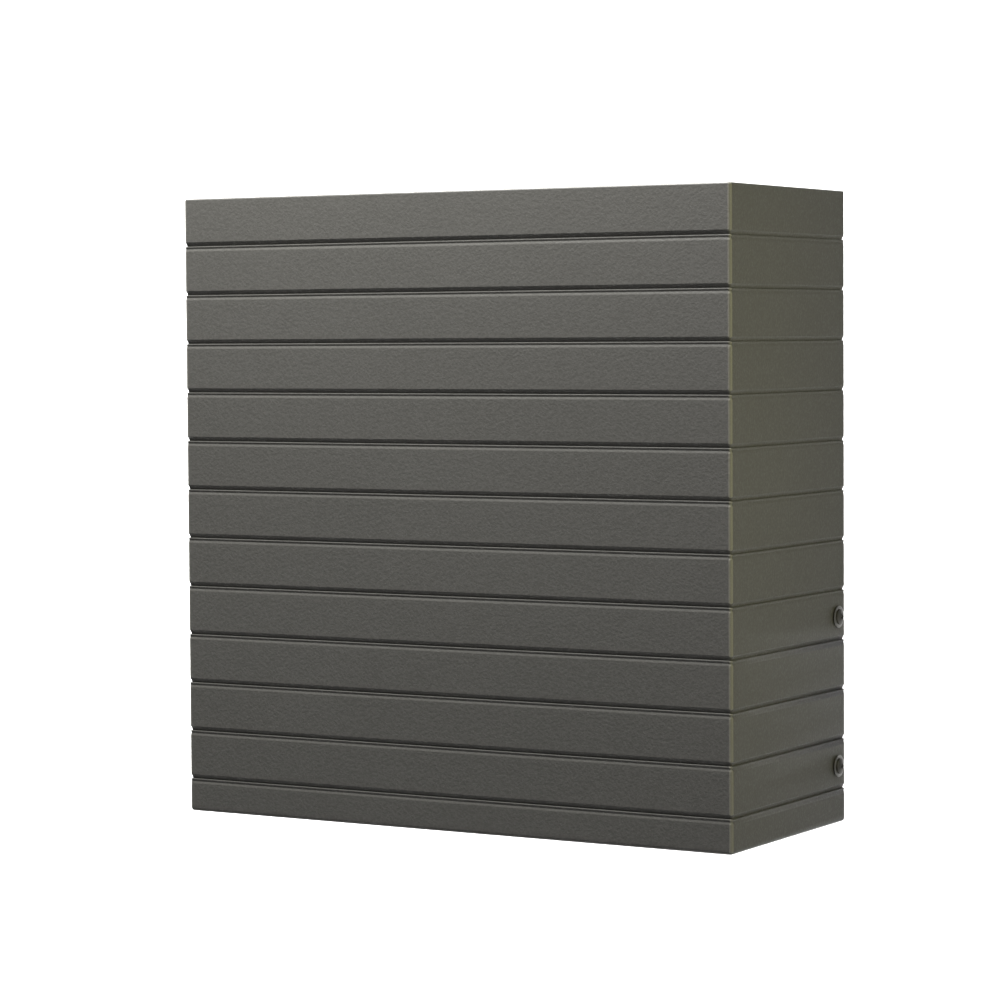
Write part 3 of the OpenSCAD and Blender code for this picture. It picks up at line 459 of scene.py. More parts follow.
stands_for(hood, "hood")


# ---- Hood dowels ----
# Two ground steel pins pressed into the hood's lugs. Their rounded tails run in the bushes of
# the pan and carry the top of the hood.
dowel_colour = (0.46, 0.46, 0.45, 1)
dowel_light = (0.62, 0.62, 0.61, 1)


def steel(name, colour, light, roughness=0.34, stretch=(1, 1, 1), grain=900):
    """Bright or plated steel: fine drawn lines and faint stains."""
    material, place = new_finish(name, metallic=1.0)
    lines = place.noise(grain, 3, 0.6, stretch)
    stain = place.noise(55, 3, 0.55).step(0.42, 0.68)
    tone = 0.55 * lines + 0.45 * stain
    return coat(material, Base_Color=tone.blend(colour, light),
                Roughness=roughness + 0.16 * stain - 0.08 * lines,
                Normal=lines.relief(0.02 * MM, 0.25))


def turned(outline, steps=32, axis="X", at=(0, 0, 0)):
    """A shape turned round an axis from an outline of radii and distances along it."""
    shape = bmesh.new()
    rows = []
    for radius, along in outline:
        count = 1 if radius < 1e-7 else steps
        row = []
        for k in range(count):
            turn = 2 * pi * k / steps
            row.append(shape.verts.new((along, radius * cos(turn), radius * sin(turn))))
        rows.append(row)
    closed = rows + [rows[0]] if outline[0][0] > 1e-7 else rows
    for a, b in zip(closed, closed[1:]):
        for k in range(steps):
            m = (k + 1) % steps
            ring = [a[k % len(a)], a[m % len(a)], b[m % len(b)], b[k % len(b)]]
            corners = [v for n, v in enumerate(ring) if v not in ring[:n]]
            if len(corners) > 2:
                shape.faces.new(corners)
    bmesh.ops.recalc_face_normals(shape, faces=shape.faces)
    turn = {"X": Matrix.Identity(4), "Y": Matrix.Rotation(radians(90), 4, "Z"),
            "Z": Matrix.Rotation(radians(-90), 4, "Y")}[axis]
    shape.transform(Matrix.Translation(at) @ turn)
    return shape


dowel_steel = steel("dowel_steel", dowel_colour, dowel_light, 0.24, (1, 0.1, 1))
chamfer = 0.8 * MM
dowel_l = dowel_high.y - dowel_low.y
dowels = made("dowels", joined([turned(
    [(0, 0), (dowel_r - chamfer, 0), (dowel_r, chamfer), (dowel_r, dowel_l - 2 * chamfer),
     (dowel_r - chamfer / 3, dowel_l - 0.6 * chamfer), (dowel_r - chamfer, dowel_l), (0, dowel_l)],
    32, "Y", (side * dowel_x, dowel_low.y, dowel_z)) for side in (-1, 1)]), dowel_steel)
stands_for(dowels, "hood_dowels")


# ---- Hood screws ----
# Four pan head screws with cross recesses hold the hood. Each clamps a plain washer over a
# rubber seal, and screws into a rivet nut in the rim of the pan.
head_r = (screw_high.z - screw_low.z) / 2
washer_low, washer_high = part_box("screw_washers")
seal_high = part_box("screw_seals")[1]
shank_r = 2.5 * MM
head_edge = 0.9 * MM
recess_half = 2.6 * MM
recess_w = 1.25 * MM
recess_d = 1.5 * MM
screw_turn = radians(22)
screw_colour = (0.125, 0.122, 0.112, 1)
screw_light = (0.24, 0.235, 0.218, 1)
washer_colour = (0.26, 0.255, 0.238, 1)
washer_light = (0.43, 0.422, 0.4, 1)


def placed_tree():
    """Node tree that sets one piece at every point, turned as the point says."""
    tree, sockets, (places, piece, size, finish) = new_tree(
        "placed", Places="Geometry", Piece="Object", Size="Float", Finish="Material")
    source = piece.node("GeometryNodeObjectInfo", None, {"Object": piece}, "Geometry")
    turns = piece.node("GeometryNodeInputNamedAttribute", {"data_type": "FLOAT_VECTOR"},
                       {"Name": "turn"}, "Attribute")
    spread = places.node("GeometryNodeInstanceOnPoints", None, {
        "Points": places, "Instance": source, "Rotation": turns, "Scale": size})
    painted(spread.node("GeometryNodeRealizeInstances", None, {0: spread}), finish)
    return tree, sockets[1:]


place_tree, place_sockets = placed_tree()


def placed(name, shape, finish, places, sharp=None):
    """One mesh with a copy of a shape at each place: its position, and its turns if it has any."""
    pattern = made("pattern", shape, finish)
    points = bpy.data.meshes.new(name)
    points.from_pydata([tuple(spot[0]) for spot in places], [], [])
    turn = points.attributes.new("turn", "FLOAT_VECTOR", "POINT")
    for k, spot in enumerate(places):
        turn.data[k].vector = spot[1] if len(spot) > 1 else (0, 0, 0)
    piece = bpy.data.objects.new(name, points)
    bpy.context.collection.objects.link(piece)
    with_tree(piece, place_tree, place_sockets, (pattern, 1.0, finish))
    bpy.data.objects.remove(pattern)
    if sharp:
        piece.data.set_sharp_from_angle(angle=radians(sharp))
    return piece


def pan_screw(head, tall, edge, shank, length):
    """A pan head screw that points along -X, with its head's underside at the origin."""
    rise = tall - edge
    dome = (head ** 2 + rise ** 2) / 2 / rise
    reach = asin(head / dome)
    thread = 0.32 * shank
    root = 0.87 * shank
    tip = 0.7 * shank
    dome_steps = 10
    inside = 0.985
    outline = [(0, -length), (tip, -length), (shank, thread - length)]
    for turn in range(int((length - 0.6 * shank) / thread) - 1):
        outline += [(shank, (turn + 1.2) * thread - length),
                    (root, (turn + 1.7) * thread - length)]
    ease = 0.06 * head
    outline += [(shank, 0), (head - ease, 0), (head, ease), (head, edge - ease)]
    for step in range(dome_steps):
        turn = reach * (1 - step / dome_steps) * inside
        outline.append((dome * sin(turn), tall - dome * (1 - cos(turn))))
    return turned(outline + [(0, tall)], 48)


def with_recess(screw, tall, half, width, deep):
    """Sinks a cross recess with tapered blades into a screw's head."""
    taper = (1, 0.45, 0.75)
    for turn in (0, 90):
        blade = block((tall - deep, -half, -width / 2), (tall + deep, half, width / 2))
        for vert in blade.verts:
            if vert.co.x < tall:
                vert.co *= Vector(taper)
        blade.transform(Matrix.Rotation(radians(turn), 4, "X"))
        cut(screw, [blade])
    return screw


screw_steel = steel("hood_screw_steel", screw_colour, screw_light, 0.42, (1, 1, 1), 1400)
screw_tall = screw_high.x - washer_high.x
for name in ("hood_screw_1", "hood_screw_2", "hood_screw_3", "hood_screw_4"):
    low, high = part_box(name)
    right = high.x > 0
    screw = made("screw", pan_screw(head_r, screw_tall, head_edge, shank_r,
                                    washer_high.x - screw_low.x), screw_steel)
    shape = copy_of(with_recess(screw, screw_tall, recess_half, recess_w, recess_d))
    shape.transform(Matrix.Rotation(screw_turn, 4, "X"))
    screw = placed(name + "_looks", shape, screw_steel, [(
        (washer_high.x if right else washer_low.x, screw_y, (low.z + high.z) / 2),
        (0, 0, 0 if right else pi))], 35)
    stands_for(screw, name)

screw_spots = [((0, screw_y, z), (0, 0, 0 if side > 0 else pi))
               for side in (-1, 1) for z in screw_z]
washer_r = (washer_high.z - washer_low.z - (screw_z[0] - screw_z[1])) / 2
washer_in = seal_high.x
washer_out = washer_high.x
ease = 0.22 * MM
washer_steel = steel("screw_washer_steel", washer_colour, washer_light, 0.38, (1, 1, 1), 1400)
washer_bore = shank_r + 0.15 * MM
washers = placed("washers", turned(
    [(washer_bore, washer_in), (washer_r - ease, washer_in), (washer_r, washer_in + ease),
     (washer_r, washer_out - ease), (washer_r - 0.3 * ease, washer_out - 0.3 * ease),
     (washer_r - ease, washer_out), (washer_bore, washer_out)], 48), washer_steel, screw_spots, 35)
stands_for(washers, "screw_washers")


def rubber(name, colour, light):
    """Matt rubber with a faint bloom."""
    material, place = new_finish(name, specular_ior_level=0.3)
    bloom = place.noise(70, 4, 0.6).step(0.4, 0.75)
    fine = place.noise(1800, 2)
    return coat(material, Base_Color=bloom.blend(colour, light), Roughness=0.72 + 0.15 * bloom,
                Normal=fine.relief(0.03 * MM, 0.4))


rubber_colour = (0.010, 0.010, 0.010, 1)
rubber_light = (0.022, 0.022, 0.021, 1)
black_rubber = rubber("black_rubber", rubber_colour, rubber_light)
seal_r = washer_r - 1 * MM
seal_bore = shank_r + 0.1 * MM
seal_t = 0.5 * MM
seals = placed("washer_seals", turned(
    [(seal_bore, washer_in - seal_t), (seal_r - 0.1 * MM, washer_in - seal_t),
     (seal_r, washer_in - seal_t / 2), (seal_r - 0.1 * MM, washer_in), (seal_bore, washer_in)],
    40), black_rubber, screw_spots)
stands_for(seals, "screw_seals")


# ---- Wall bracket and hang rail ----
# Two folded strips of galvanised steel. The bracket is bolted to the wall, and the rail is
# screwed to the pan and hooks over the bracket's lip.
zinc_colour = (0.36, 0.38, 0.39, 1)
zinc_light = (0.56, 0.58, 0.59, 1)


def zinc_sheet(name, colour, light):
    """Galvanised sheet: broad spangles of zinc with a dull bloom between them."""
    material, place = new_finish(name, metallic=1.0)
    spangle = place.grains(130, "Color").axis("X")
    frost = place.noise(240, 4, 0.65)
    bloom = place.noise(22, 3).step(0.45, 0.75)
    tone = 0.6 * spangle + 0.4 * frost
    return coat(material, Base_Color=tone.blend(colour, light),
                Roughness=0.34 + 0.14 * spangle + 0.16 * bloom,
                Normal=(frost + spangle).relief(0.02 * MM, 0.3))


def whole_shape(node):
    """The shape of a node of the frame, with its corners welded and its flat faces whole."""
    whole = bmesh.new()
    whole.from_mesh(frame["nodes"][node].data)
    bmesh.ops.remove_doubles(whole, verts=whole.verts, dist=2 * weld)
    bmesh.ops.dissolve_limit(whole, angle_limit=radians(0.6), verts=whole.verts,
                             edges=whole.edges)
    return whole


def eased_copy(node, finish, width, steps=2):
    """Stands for a node with the same shape, but with its edges rounded."""
    stands_for(eased(made(node + "_looks", whole_shape(node), finish), width, steps), node)


def solid_boxes(node):
    """The lowest and highest corner of each separate solid of a node, lowest first."""
    whole = bmesh.new()
    whole.from_mesh(frame["nodes"][node].data)
    bmesh.ops.remove_doubles(whole, verts=whole.verts, dist=2 * weld)
    left = set(whole.verts)
    boxes = []
    while left:
        reach = [left.pop()]
        found = list(reach)
        while reach:
            for edge in reach.pop().link_edges:
                for vert in edge.verts:
                    if vert in left:
                        left.remove(vert)
                        reach.append(vert)
                        found.append(vert)
        boxes.append(tuple(Vector([pick(v.co[k] for v in found) for k in range(3)])
                           for pick in (min, max)))
    whole.free()
    return sorted(boxes, key=lambda box: [round(n, 5) for n in (*box[0], *box[1])])


zinc = zinc_sheet("zinc_sheet", zinc_colour, zinc_light)
eased_copy("wall_bracket", zinc, 0.5 * MM, 3)
eased_copy("hang_rail", zinc, 0.45 * MM, 3)


# ---- Pan, bumpers and fastenings ----
# The pan is folded steel in a fine dark powder coat and carries everything inside. Foam rubber
# round its rim closes the hood, and two bumpers hold its lower edge off the wall.
sheet_colour = (0.045, 0.046, 0.047, 1)
sheet_light = (0.075, 0.076, 0.078, 1)
bright_colour = (0.42, 0.43, 0.42, 1)
bright_light = (0.66, 0.66, 0.63, 1)
nylon_colour = (0.60, 0.57, 0.48, 1)
nylon_light = (0.70, 0.68, 0.60, 1)
m4_head = 4 * MM
m4_tall = 2.4 * MM
rail_y = -14 * MM


def moulded(name, colour, light, roughness, texture=2600, depth=0.02, **constants):
    """Moulded plastic: a fine spark texture, slight flow marks and handled, shinier spots."""
    material, place = new_finish(name, **constants)
    spark = place.noise(texture, 2, 0.6)
    flow = place.noise(28, 3, 0.5, (1, 1, 0.3))
    handled = place.noise(45, 3).step(0.5, 0.72)
    return coat(material, Base_Color=(0.6 * flow + 0.4 * spark).blend(colour, light),
                Roughness=roughness + 0.08 * spark - 0.1 * handled,
                Normal=spark.relief(depth * MM, 0.35))


dark_sheet = powder_coat("dark_sheet_coat", sheet_colour, sheet_light, 1300)
bright_steel = steel("bright_fasteners", bright_colour, bright_light, 0.28)
white_nylon = moulded("white_nylon", nylon_colour, nylon_light, 0.45, subsurface_weight=0.1)
eased_copy("back_pan", dark_sheet, 0.5 * MM, 2)
eased_copy("rim_gasket", black_rubber, 0.25 * MM)
eased_copy("rear_bumpers", black_rubber, 1.0 * MM, 3)


def foot(low, high, axis):
    """The middle of the face on which a box stands along an axis."""
    spot = [(a + b) / 2 for a, b in zip(low, high)]
    spot["XYZ".index(axis)] = low["XYZ".index(axis)]
    return tuple(spot)


bushes = []
for low, high in solid_boxes("dowel_bushes"):
    outer = (high.x - low.x) / 2
    inner = dowel_r + 0.05 * MM
    neck = dowel_r + 1.5 * MM
    long = high.y - low.y
    collar = 1.5 * MM
    ease = 0.3 * MM
    bushes.append(turned([(inner + ease, 0), (outer - ease, 0), (outer, ease),
                          (outer, collar - ease / 2), (outer - ease / 2, collar), (neck, collar),
                          (neck, long - ease), (neck - ease, long), (inner + ease, long),
                          (inner, long - ease), (inner, ease)],
                         40, "Y", foot(low, high, "Y")))
bushes = made("bushes", joined(bushes), white_nylon)
stands_for(bushes, "dowel_bushes")

m4_screw = made("screw", pan_screw(m4_head, m4_tall, edge=1.1 * MM, shank=2 * MM,
                                   length=6 * MM), bright_steel)
with_recess(m4_screw, m4_tall, half=2.1 * MM, width=0.95 * MM, deep=1.3 * MM)
spots = []
for low, high in solid_boxes("chassis_screws"):
    faces_wall = high.y > rail_y
    x, y, z = foot(low, high, "Y")
    spots.append(((x, high.y - m4_tall if faces_wall else y + m4_tall, z),
                  (0, 0, radians(90 if faces_wall else -90))))
m4_screws = placed("m4_screws", copy_of(m4_screw), bright_steel, spots, 35)
stands_for(m4_screws, "chassis_screws")

nuts = []
for low, high in solid_boxes("rivet_nuts"):
    side = 1 if high.x > 0 else -1
    reach = high.x - low.x
    flange = (high.z - low.z) / 2
    barrel = shank_r + 1 * MM
    bore = shank_r + 0.05 * MM
    seat = reach - 1.9 * MM
    ease = 0.3 * MM
    ribs = [(barrel - 0.12 * MM * (k % 2), 4.5 * MM + 0.8 * MM * k) for k in range(5)]
    outline = [(bore, 0), (barrel - ease, 0), (barrel, ease)] + ribs + [
        (barrel, seat), (flange - 0.2 * MM, seat), (flange, seat + 0.2 * MM),
        (flange, reach - ease), (flange - ease, reach), (bore, reach)]
    nut = turned(outline, 40)
    if side < 0:
        nut.transform(Matrix.Rotation(pi, 4, "Z"))
    nut.transform(Matrix.Translation((low.x if side > 0 else high.x, screw_y,
                                      (low.z + high.z) / 2)))
    nuts.append(nut)
nuts = made("clinch_nuts", joined(nuts), bright_steel)
stands_for(nuts, "rivet_nuts")


# ---- Connection panel ----
# A powder coated shelf low in the unit that carries every connection, with a rubber profile
# pushed over its edge. White marks are printed on its underside.
mark_colour = (0.62, 0.62, 0.60, 1)
mark_light = (0.74, 0.74, 0.71, 1)
mark_t = 0.15 * MM
sign = 9 * MM
stroke = 1.8 * MM
arm = (sign - stroke) / 2
tick = 0.6 * MM
eased_copy("base_panel", dark_sheet, 0.4 * MM)
eased_copy("base_seal", black_rubber, 1.2 * MM, 3)
panel_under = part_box("comm_ports")[0].z + 1 * MM
print_white = moulded("printed_marks", mark_colour, mark_light, 0.6, 1500)


def mark(x, y, wide, tall, turn=0.0):
    """One printed bar on the underside of the panel."""
    strip = block((-wide / 2, -tall / 2, -mark_t), (wide / 2, tall / 2, 0.02 * MM))
    strip.transform(Matrix.Translation((x, y, panel_under)) @ Matrix.Rotation(turn, 4, "Z"))
    return strip


marks = []
socket_boxes = {name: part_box(name) for name in ("socket_positive", "socket_negative")}
for name, (low, high) in socket_boxes.items():
    middle = (low.x + high.x) / 2
    front = low.y - 8 * MM
    marks.append(mark(middle, front, sign, stroke))
    if name == "socket_positive":
        marks += [mark(middle, front + way * (stroke + arm) / 2, stroke, arm) for way in (1, -1)]
dial_low, dial_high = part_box("address_dial")
dial_x, dial_y = foot(dial_low, dial_high, "Z")[:2]
for step in range(10):
    turn = radians(36 * step)
    reach = dial_high.x - dial_x + 2.4 * MM
    marks.append(mark(dial_x + reach * sin(turn), dial_y + reach * cos(turn), tick, 2 * MM, -turn))
earth_low, earth_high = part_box("earth_stud")
earth_x, earth_y = foot(earth_low, earth_high, "Z")[:2]
for row in range(3):
    marks.append(mark(earth_x, earth_y - (12 + 1.6 * row) * MM, (7 - 2.3 * row) * MM, 0.8 * MM))
marks.append(mark(earth_x, earth_y - 9.6 * MM, 0.8 * MM, 4 * MM))
light_boxes = solid_boxes("status_lights")
for low, high in light_boxes:
    marks.append(mark((low.x + high.x) / 2, low.y - 3 * MM, 3 * MM, tick))
marks = made("panel_marks", joined(marks), print_white)
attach(marks, "chassis")


# ---- Power sockets ----
# One moulded socket for each pole, orange for plus and black for minus, pushed up through the
# panel and locked by its collar. Each shroud guards a silver-plated contact pin.
orange_colour = (0.78, 0.145, 0.012, 1)
orange_light = (0.86, 0.20, 0.025, 1)
black_colour = (0.014, 0.014, 0.015, 1)
black_light = (0.026, 0.026, 0.027, 1)
silver_colour = (0.62, 0.60, 0.54, 1)
silver_light = (0.78, 0.76, 0.70, 1)
orange_plastic = moulded("orange_plastic", orange_colour, orange_light, 0.34, 2000, 0.01)
black_plastic = moulded("black_plastic", black_colour, black_light, 0.46)
silver_plate = steel("silver_plate", silver_colour, silver_light, 0.2, (1, 1, 0.2))
collar_out = 3 * MM
rib_z = 9 * MM


def bar(wide, deep, tall):
    """A box round the origin, from its sizes in millimetres."""
    half = [size / 2 * MM for size in (wide, deep, tall)]
    return block([-size for size in half], half)


def rounded(shape, finish, width):
    """A shape with its edges rounded, to be placed."""
    return copy_of(eased(made("part", shape, finish), width))


for name, plastic in (("socket_positive", orange_plastic), ("socket_negative", black_plastic)):
    eased_copy(name, plastic, 0.5 * MM, 3)
    low, high = socket_boxes[name]
    middle = Vector(foot(low, high, "Z"))
    shroud_r = (high.x - low.x) / 2 - collar_out
    ribs = [((middle.x + shroud_r * cos(a), middle.y + shroud_r * sin(a),
              low.z + rib_z), (0, 0, a)) for a in map(radians, range(10, 360, 20))]
    grips = placed(name + "_grips", rounded(bar(1, 1.4, 14), plastic, 0.3 * MM), plastic, ribs)
    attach(grips, "chassis")

pin_r = 4 * MM
barrel_r = 4.5 * MM
flange_r = 7 * MM
flange_t = 4 * MM
ease = 0.4 * MM
nose = 1.2 * MM
tip = [(pin_r - nose + nose * sin(a), nose - nose * cos(a))
       for a in map(radians, range(0, 91, 15))]
contacts = []
for low, high in solid_boxes("socket_contacts"):
    base = high.z - low.z
    pin_l = panel_under - 5 * MM - low.z
    top = panel_under + 12 * MM - low.z
    contacts.append(turned([(0, 0)] + tip + [
        (pin_r, pin_l), (barrel_r, pin_l), (barrel_r, top - flange_t),
        (flange_r - ease, top - flange_t), (flange_r, top - flange_t + ease),
        (flange_r, top - ease), (flange_r - ease, top), (barrel_r, top),
        (barrel_r, base - ease), (barrel_r - ease, base), (0, base)],
        40, "Z", foot(low, high, "Z")))
contacts = made("contact_pins", joined(contacts), silver_plate)
stands_for(contacts, "socket_contacts")


# ---- Cable gland, earth stud and vent ----
# Entries of the panel: a nylon gland whose cap nut clamps the cable, a brass stud with its two
# nuts for the earth lead, and a vent plug that lets the case breathe.
brass_colour = (0.56, 0.38, 0.13, 1)
brass_light = (0.76, 0.56, 0.25, 1)
brass = steel("turned_brass", brass_colour, brass_light, 0.26, (1, 1, 6), 500)
eased_copy("cable_gland", black_plastic, 0.5 * MM, 3)
nut_low, nut_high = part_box("gland_nut")
gland_x, gland_y = foot(nut_low, nut_high, "Z")[:2]
gland_nut = eased(made("gland_cap", whole_shape("gland_nut"), black_plastic), 0.9 * MM, 3)
stands_for(gland_nut, "gland_nut")
wiper = made("gland_wiper", turned(
    mm([(5.0, 0.6), (5.3, 0), (6.0, 0), (6.0, 3), (5.3, 3)]), 40, "Z",
    (gland_x, gland_y, nut_low.z + 0.3 * MM)), black_rubber)
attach(wiper, "gland_cap")


def hex_nut(across, tall, bore, chamfer, sides=48):
    """A hexagon nut that stands along Z on the origin, with its corners turned off."""
    shape = bmesh.new()
    sixth = radians(60)
    rows = []
    for radius, height in ((bore, 0), (across * 0.93, 0), (across, chamfer),
                           (across, tall - chamfer), (across * 0.93, tall), (bore, tall)):
        row = []
        for k in range(sides):
            turn = 2 * pi * k / sides
            flat = across * cos(sixth / 2) / cos(turn % sixth - sixth / 2)
            reach = bore if radius == bore else min(radius, flat)
            row.append(shape.verts.new((reach * cos(turn), reach * sin(turn), height)))
        rows.append(row)
    laid(shape, rows + rows[:1], 0)
    bmesh.ops.recalc_face_normals(shape, faces=shape.faces)
    return shape


earth_r = 3 * MM
stud_l = max(box[1].z - box[0].z for box in solid_boxes("earth_stud"))
ease = 0.6 * MM
threads = [(0, 0), (earth_r - ease, 0), (earth_r, ease)]
for k in range(int((stud_l - 2 * MM) / (1 * MM))):
    threads += [(earth_r, (k + 0.9) * MM), (earth_r - 0.45 * MM, (k + 1.4) * MM)]
threads += [(earth_r, stud_l - ease), (earth_r - ease, stud_l), (0, stud_l)]
stud = [turned(threads, 32, "Z", (earth_x, earth_y, earth_low.z))]
for height in (panel_under - 5 * MM, panel_under + 2 * MM):
    nut = hex_nut(earth_r + 2.8 * MM, tall=5 * MM, bore=earth_r - 0.2 * MM, chamfer=0.7 * MM)
    nut.transform(Matrix.Translation((earth_x, earth_y, height)))
    stud.append(nut)
stud = made("earth_point", joined(stud), brass)
stands_for(stud, "earth_stud")
eased_copy("pressure_vent", black_plastic, 0.7 * MM, 3)


# ---- Ports, dial, button and lights ----
# The communication side of the panel: three network ports with gilt pins, an address dial with
# a screwdriver slot, a steel-ringed power button and a row of six light pipes.
gilt_colour = (0.72, 0.47, 0.12, 1)
gilt_light = (0.88, 0.64, 0.24, 1)
ring_colour = (0.46, 0.46, 0.45, 1)
ring_light = (0.60, 0.60, 0.59, 1)
gilt = steel("gilt_pins", gilt_colour, gilt_light, 0.18)
eased_copy("comm_ports", black_plastic, 0.3 * MM)
pin_pitch = 1.05 * MM
spots = [(((low.x + high.x) / 2 + (k - 3.5) * pin_pitch, low.y + 3.4 * MM, low.z + 6.5 * MM),)
         for low, high in solid_boxes("comm_ports") for k in range(8)]
pins = placed("port_pins", rounded(bar(0.36, 0.5, 9), gilt, 0.1 * MM), gilt, spots)
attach(pins, "chassis")

eased_copy("address_dial", white_nylon, 0.25 * MM)

button_low, button_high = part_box("power_button")
button_x, button_y = foot(button_low, button_high, "Z")[:2]
button_r = 6 * MM


def lathe_rings(name, colour, light, centre, roughness=0.22):
    """Steel faced on a lathe: fine rings round a centre."""
    material, place = new_finish(name, metallic=1.0)
    out = place.vector("SUBTRACT", centre).vector("MULTIPLY", (1, 1, 0))
    radius = out.vector("LENGTH", give="Value")
    rings = place.sum("SINE", radius * 9000) * 0.5 + 0.5
    stain = place.noise(160, 3)
    return coat(material, Base_Color=(0.5 * rings + 0.5 * stain).blend(colour, light),
                Roughness=roughness + 0.14 * stain, Normal=rings.relief(0.01 * MM, 0.3))


ring_steel = lathe_rings("button_ring_steel", ring_colour, ring_light, (button_x, button_y, 0))
eased_copy("button_bezel", ring_steel, 0.7 * MM, 3)
dish_d = 0.45 * MM
dish = [(button_r * (1 - k / 6) * 0.9, dish_d * (1 - (1 - k / 6) ** 2)) for k in range(6)]
tall = button_high.z - button_low.z
outline = [(0, dish_d)] + list(reversed(dish)) + [
    (button_r - 0.25 * MM, 0.1 * MM), (button_r, 0.5 * MM)]
button_verts = frame["nodes"]["power_button"].data.vertices
steps = sorted({round(v.co.z - button_low.z, 6) for v in button_verts})
rest_z = [z for z in steps if 1 * MM < z < tall - 1 * MM]
outline += [(button_r, rest_z[0]), (button_high.x - button_x, rest_z[0]),
            (button_high.x - button_x, rest_z[-1]), (button_r, rest_z[-1]),
            (button_r, tall - 0.4 * MM), (button_r - 0.4 * MM, tall), (0, tall)]
button = made("power_key", turned(outline, 48, "Z", (button_x, button_y, button_low.z)),
              black_plastic)
stands_for(button, "power_button")

glow_colour = (0.10, 0.42, 0.16, 1)
glow_light = (0.30, 0.80, 0.36, 1)


def light_pipe(name, colour, light):
    """Frosted acrylic that carries a faint green glow to its tip."""
    material, place = new_finish(name, alpha=0.9, emission_strength=0.35)
    haze = place.noise(900, 3)
    return coat(material, Base_Color=haze.blend(colour, light), Roughness=0.28 + 0.2 * haze,
                Emission_Color=haze.blend(colour, light), Normal=haze.relief(0.01 * MM, 0.3))


frosted = light_pipe("light_pipe", glow_colour, glow_light)
pipe_l = light_boxes[0][1].z - light_boxes[0][0].z
pipe_r = (light_boxes[0][1].x - light_boxes[0][0].x) / 2
tip_l = 0.9 * MM
tip = [(pipe_r * sin(a), tip_l * (1 - cos(a))) for a in map(radians, range(15, 91, 15))]
ease = 0.2 * MM
pipe = turned([(0, 0)] + tip + [(pipe_r, pipe_l - ease), (pipe_r - ease, pipe_l), (0, pipe_l)],
              24, "Z")
pipes = placed("light_pipes", pipe, frosted, [(foot(low, high, "Z"),) for low, high in light_boxes])
stands_for(pipes, "status_lights")


# ---- Port flap ----
# A smoked plastic lid over the ports and the dial. It swings down on a steel pin between two
# ears of the panel, and ribs on its tongue give the finger a grip.
smoked_colour = (0.022, 0.022, 0.025, 1)
smoked_light = (0.036, 0.036, 0.040, 1)
smoked = moulded("smoked_plastic", smoked_colour, smoked_light, 0.22, 1800, 0.006, coat_weight=0.3)
eased_copy("port_flap", smoked, 0.5 * MM, 3)
flap_low, flap_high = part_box("port_flap")
rib = block(*mm([(-18, -0.4, -0.35), (18, 0.4, 0.3)]))
flap_x = (flap_low.x + flap_high.x) / 2
tongue_l = 9 * MM
flap_verts = frame["nodes"]["port_flap"].data.vertices
flap_under = min(v.co.z for v in flap_verts if v.co.y < flap_low.y + tongue_l)
ribs = placed("flap_ribs", rounded(rib, smoked, 0.25 * MM), smoked,
              [((flap_x, flap_low.y + (2.2 + 1.8 * k) * MM, flap_under),) for k in range(4)])
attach(ribs, "flap")
eased_copy("flap_pin", dowel_steel, 0.35 * MM, 3)


# ---- Main breaker and fuse ----
# A two pole breaker whose nose and green paddle stand through the panel, and a strip fuse bolted
# between two studs of a black base.
grey_colour = (0.50, 0.50, 0.47, 1)
grey_light = (0.58, 0.58, 0.55, 1)
green_colour = (0.018, 0.105, 0.045, 1)
green_light = (0.03, 0.15, 0.07, 1)
ceramic_colour = (0.70, 0.68, 0.61, 1)
ceramic_light = (0.80, 0.79, 0.73, 1)
breaker_grey = moulded("breaker_grey", grey_colour, grey_light, 0.42, 2000, 0.012)
toggle_green = moulded("toggle_green", green_colour, green_light, 0.3, 2000, 0.008)
eased_copy("main_breaker", breaker_grey, 0.8 * MM, 3)
eased_copy("breaker_toggle", toggle_green, 0.9 * MM, 3)
breaker_low, breaker_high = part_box("main_breaker")
seam_x = (breaker_low.x + breaker_high.x) / 2
spots = [((seam_x, y, panel_under + (32 + 3.2 * row) * MM),)
         for row in range(5) for y in (breaker_low.y, breaker_high.y)]
louvres = placed("breaker_louvres", rounded(bar(24, 0.7, 1.2), breaker_grey, 0.25 * MM),
                 breaker_grey, spots)
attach(louvres, "chassis")

axle_up = 4 * MM
toggle_low, toggle_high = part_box("breaker_toggle")
toggle_x = (toggle_low.x + toggle_high.x) / 2
axle = Vector((toggle_x, (breaker_low.y + breaker_high.y) / 2, panel_under + axle_up))
lean = radians(22)
half_t = 3 * MM
down = Vector((0, sin(lean), -cos(lean)))
out = Vector((0, cos(lean), sin(lean)))
spots = [(axle + down * (13 + 1.9 * k) * MM + out * side * half_t, (lean, 0, 0))
         for k in range(4) for side in (-1, 1)]
ridges = placed("toggle_ridges", rounded(bar(18, 0.6, 0.7), toggle_green, 0.2 * MM),
                toggle_green, spots)
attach(ridges, "toggle")

eased_copy("fuse_holder", black_plastic, 0.6 * MM, 3)
ceramic = moulded("fuse_ceramic", ceramic_colour, ceramic_light, 0.25, 900, 0.004)
eased_copy("main_fuse", ceramic, 0.4 * MM)
fuse_low, fuse_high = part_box("main_fuse")
fuse_x = (fuse_low.x + fuse_high.x) / 2
fuse_mid = (fuse_low.z + fuse_high.z) / 2
fuse_r = 8 * MM
fuse_y = fuse_low.y + fuse_r
cap_l = 4.8 * MM
cap_out = 11.7 * MM
stud_in = 10 * MM
caps = [turned([(fuse_r - 0.4 * MM, 0), (fuse_r + 0.25 * MM, 0.2 * MM),
                (fuse_r + 0.25 * MM, cap_l - 0.2 * MM), (fuse_r - 0.4 * MM, cap_l)],
               40, "Z", (fuse_x, fuse_y, fuse_mid + side * cap_out - cap_l / 2))
        for side in (-1, 1)]
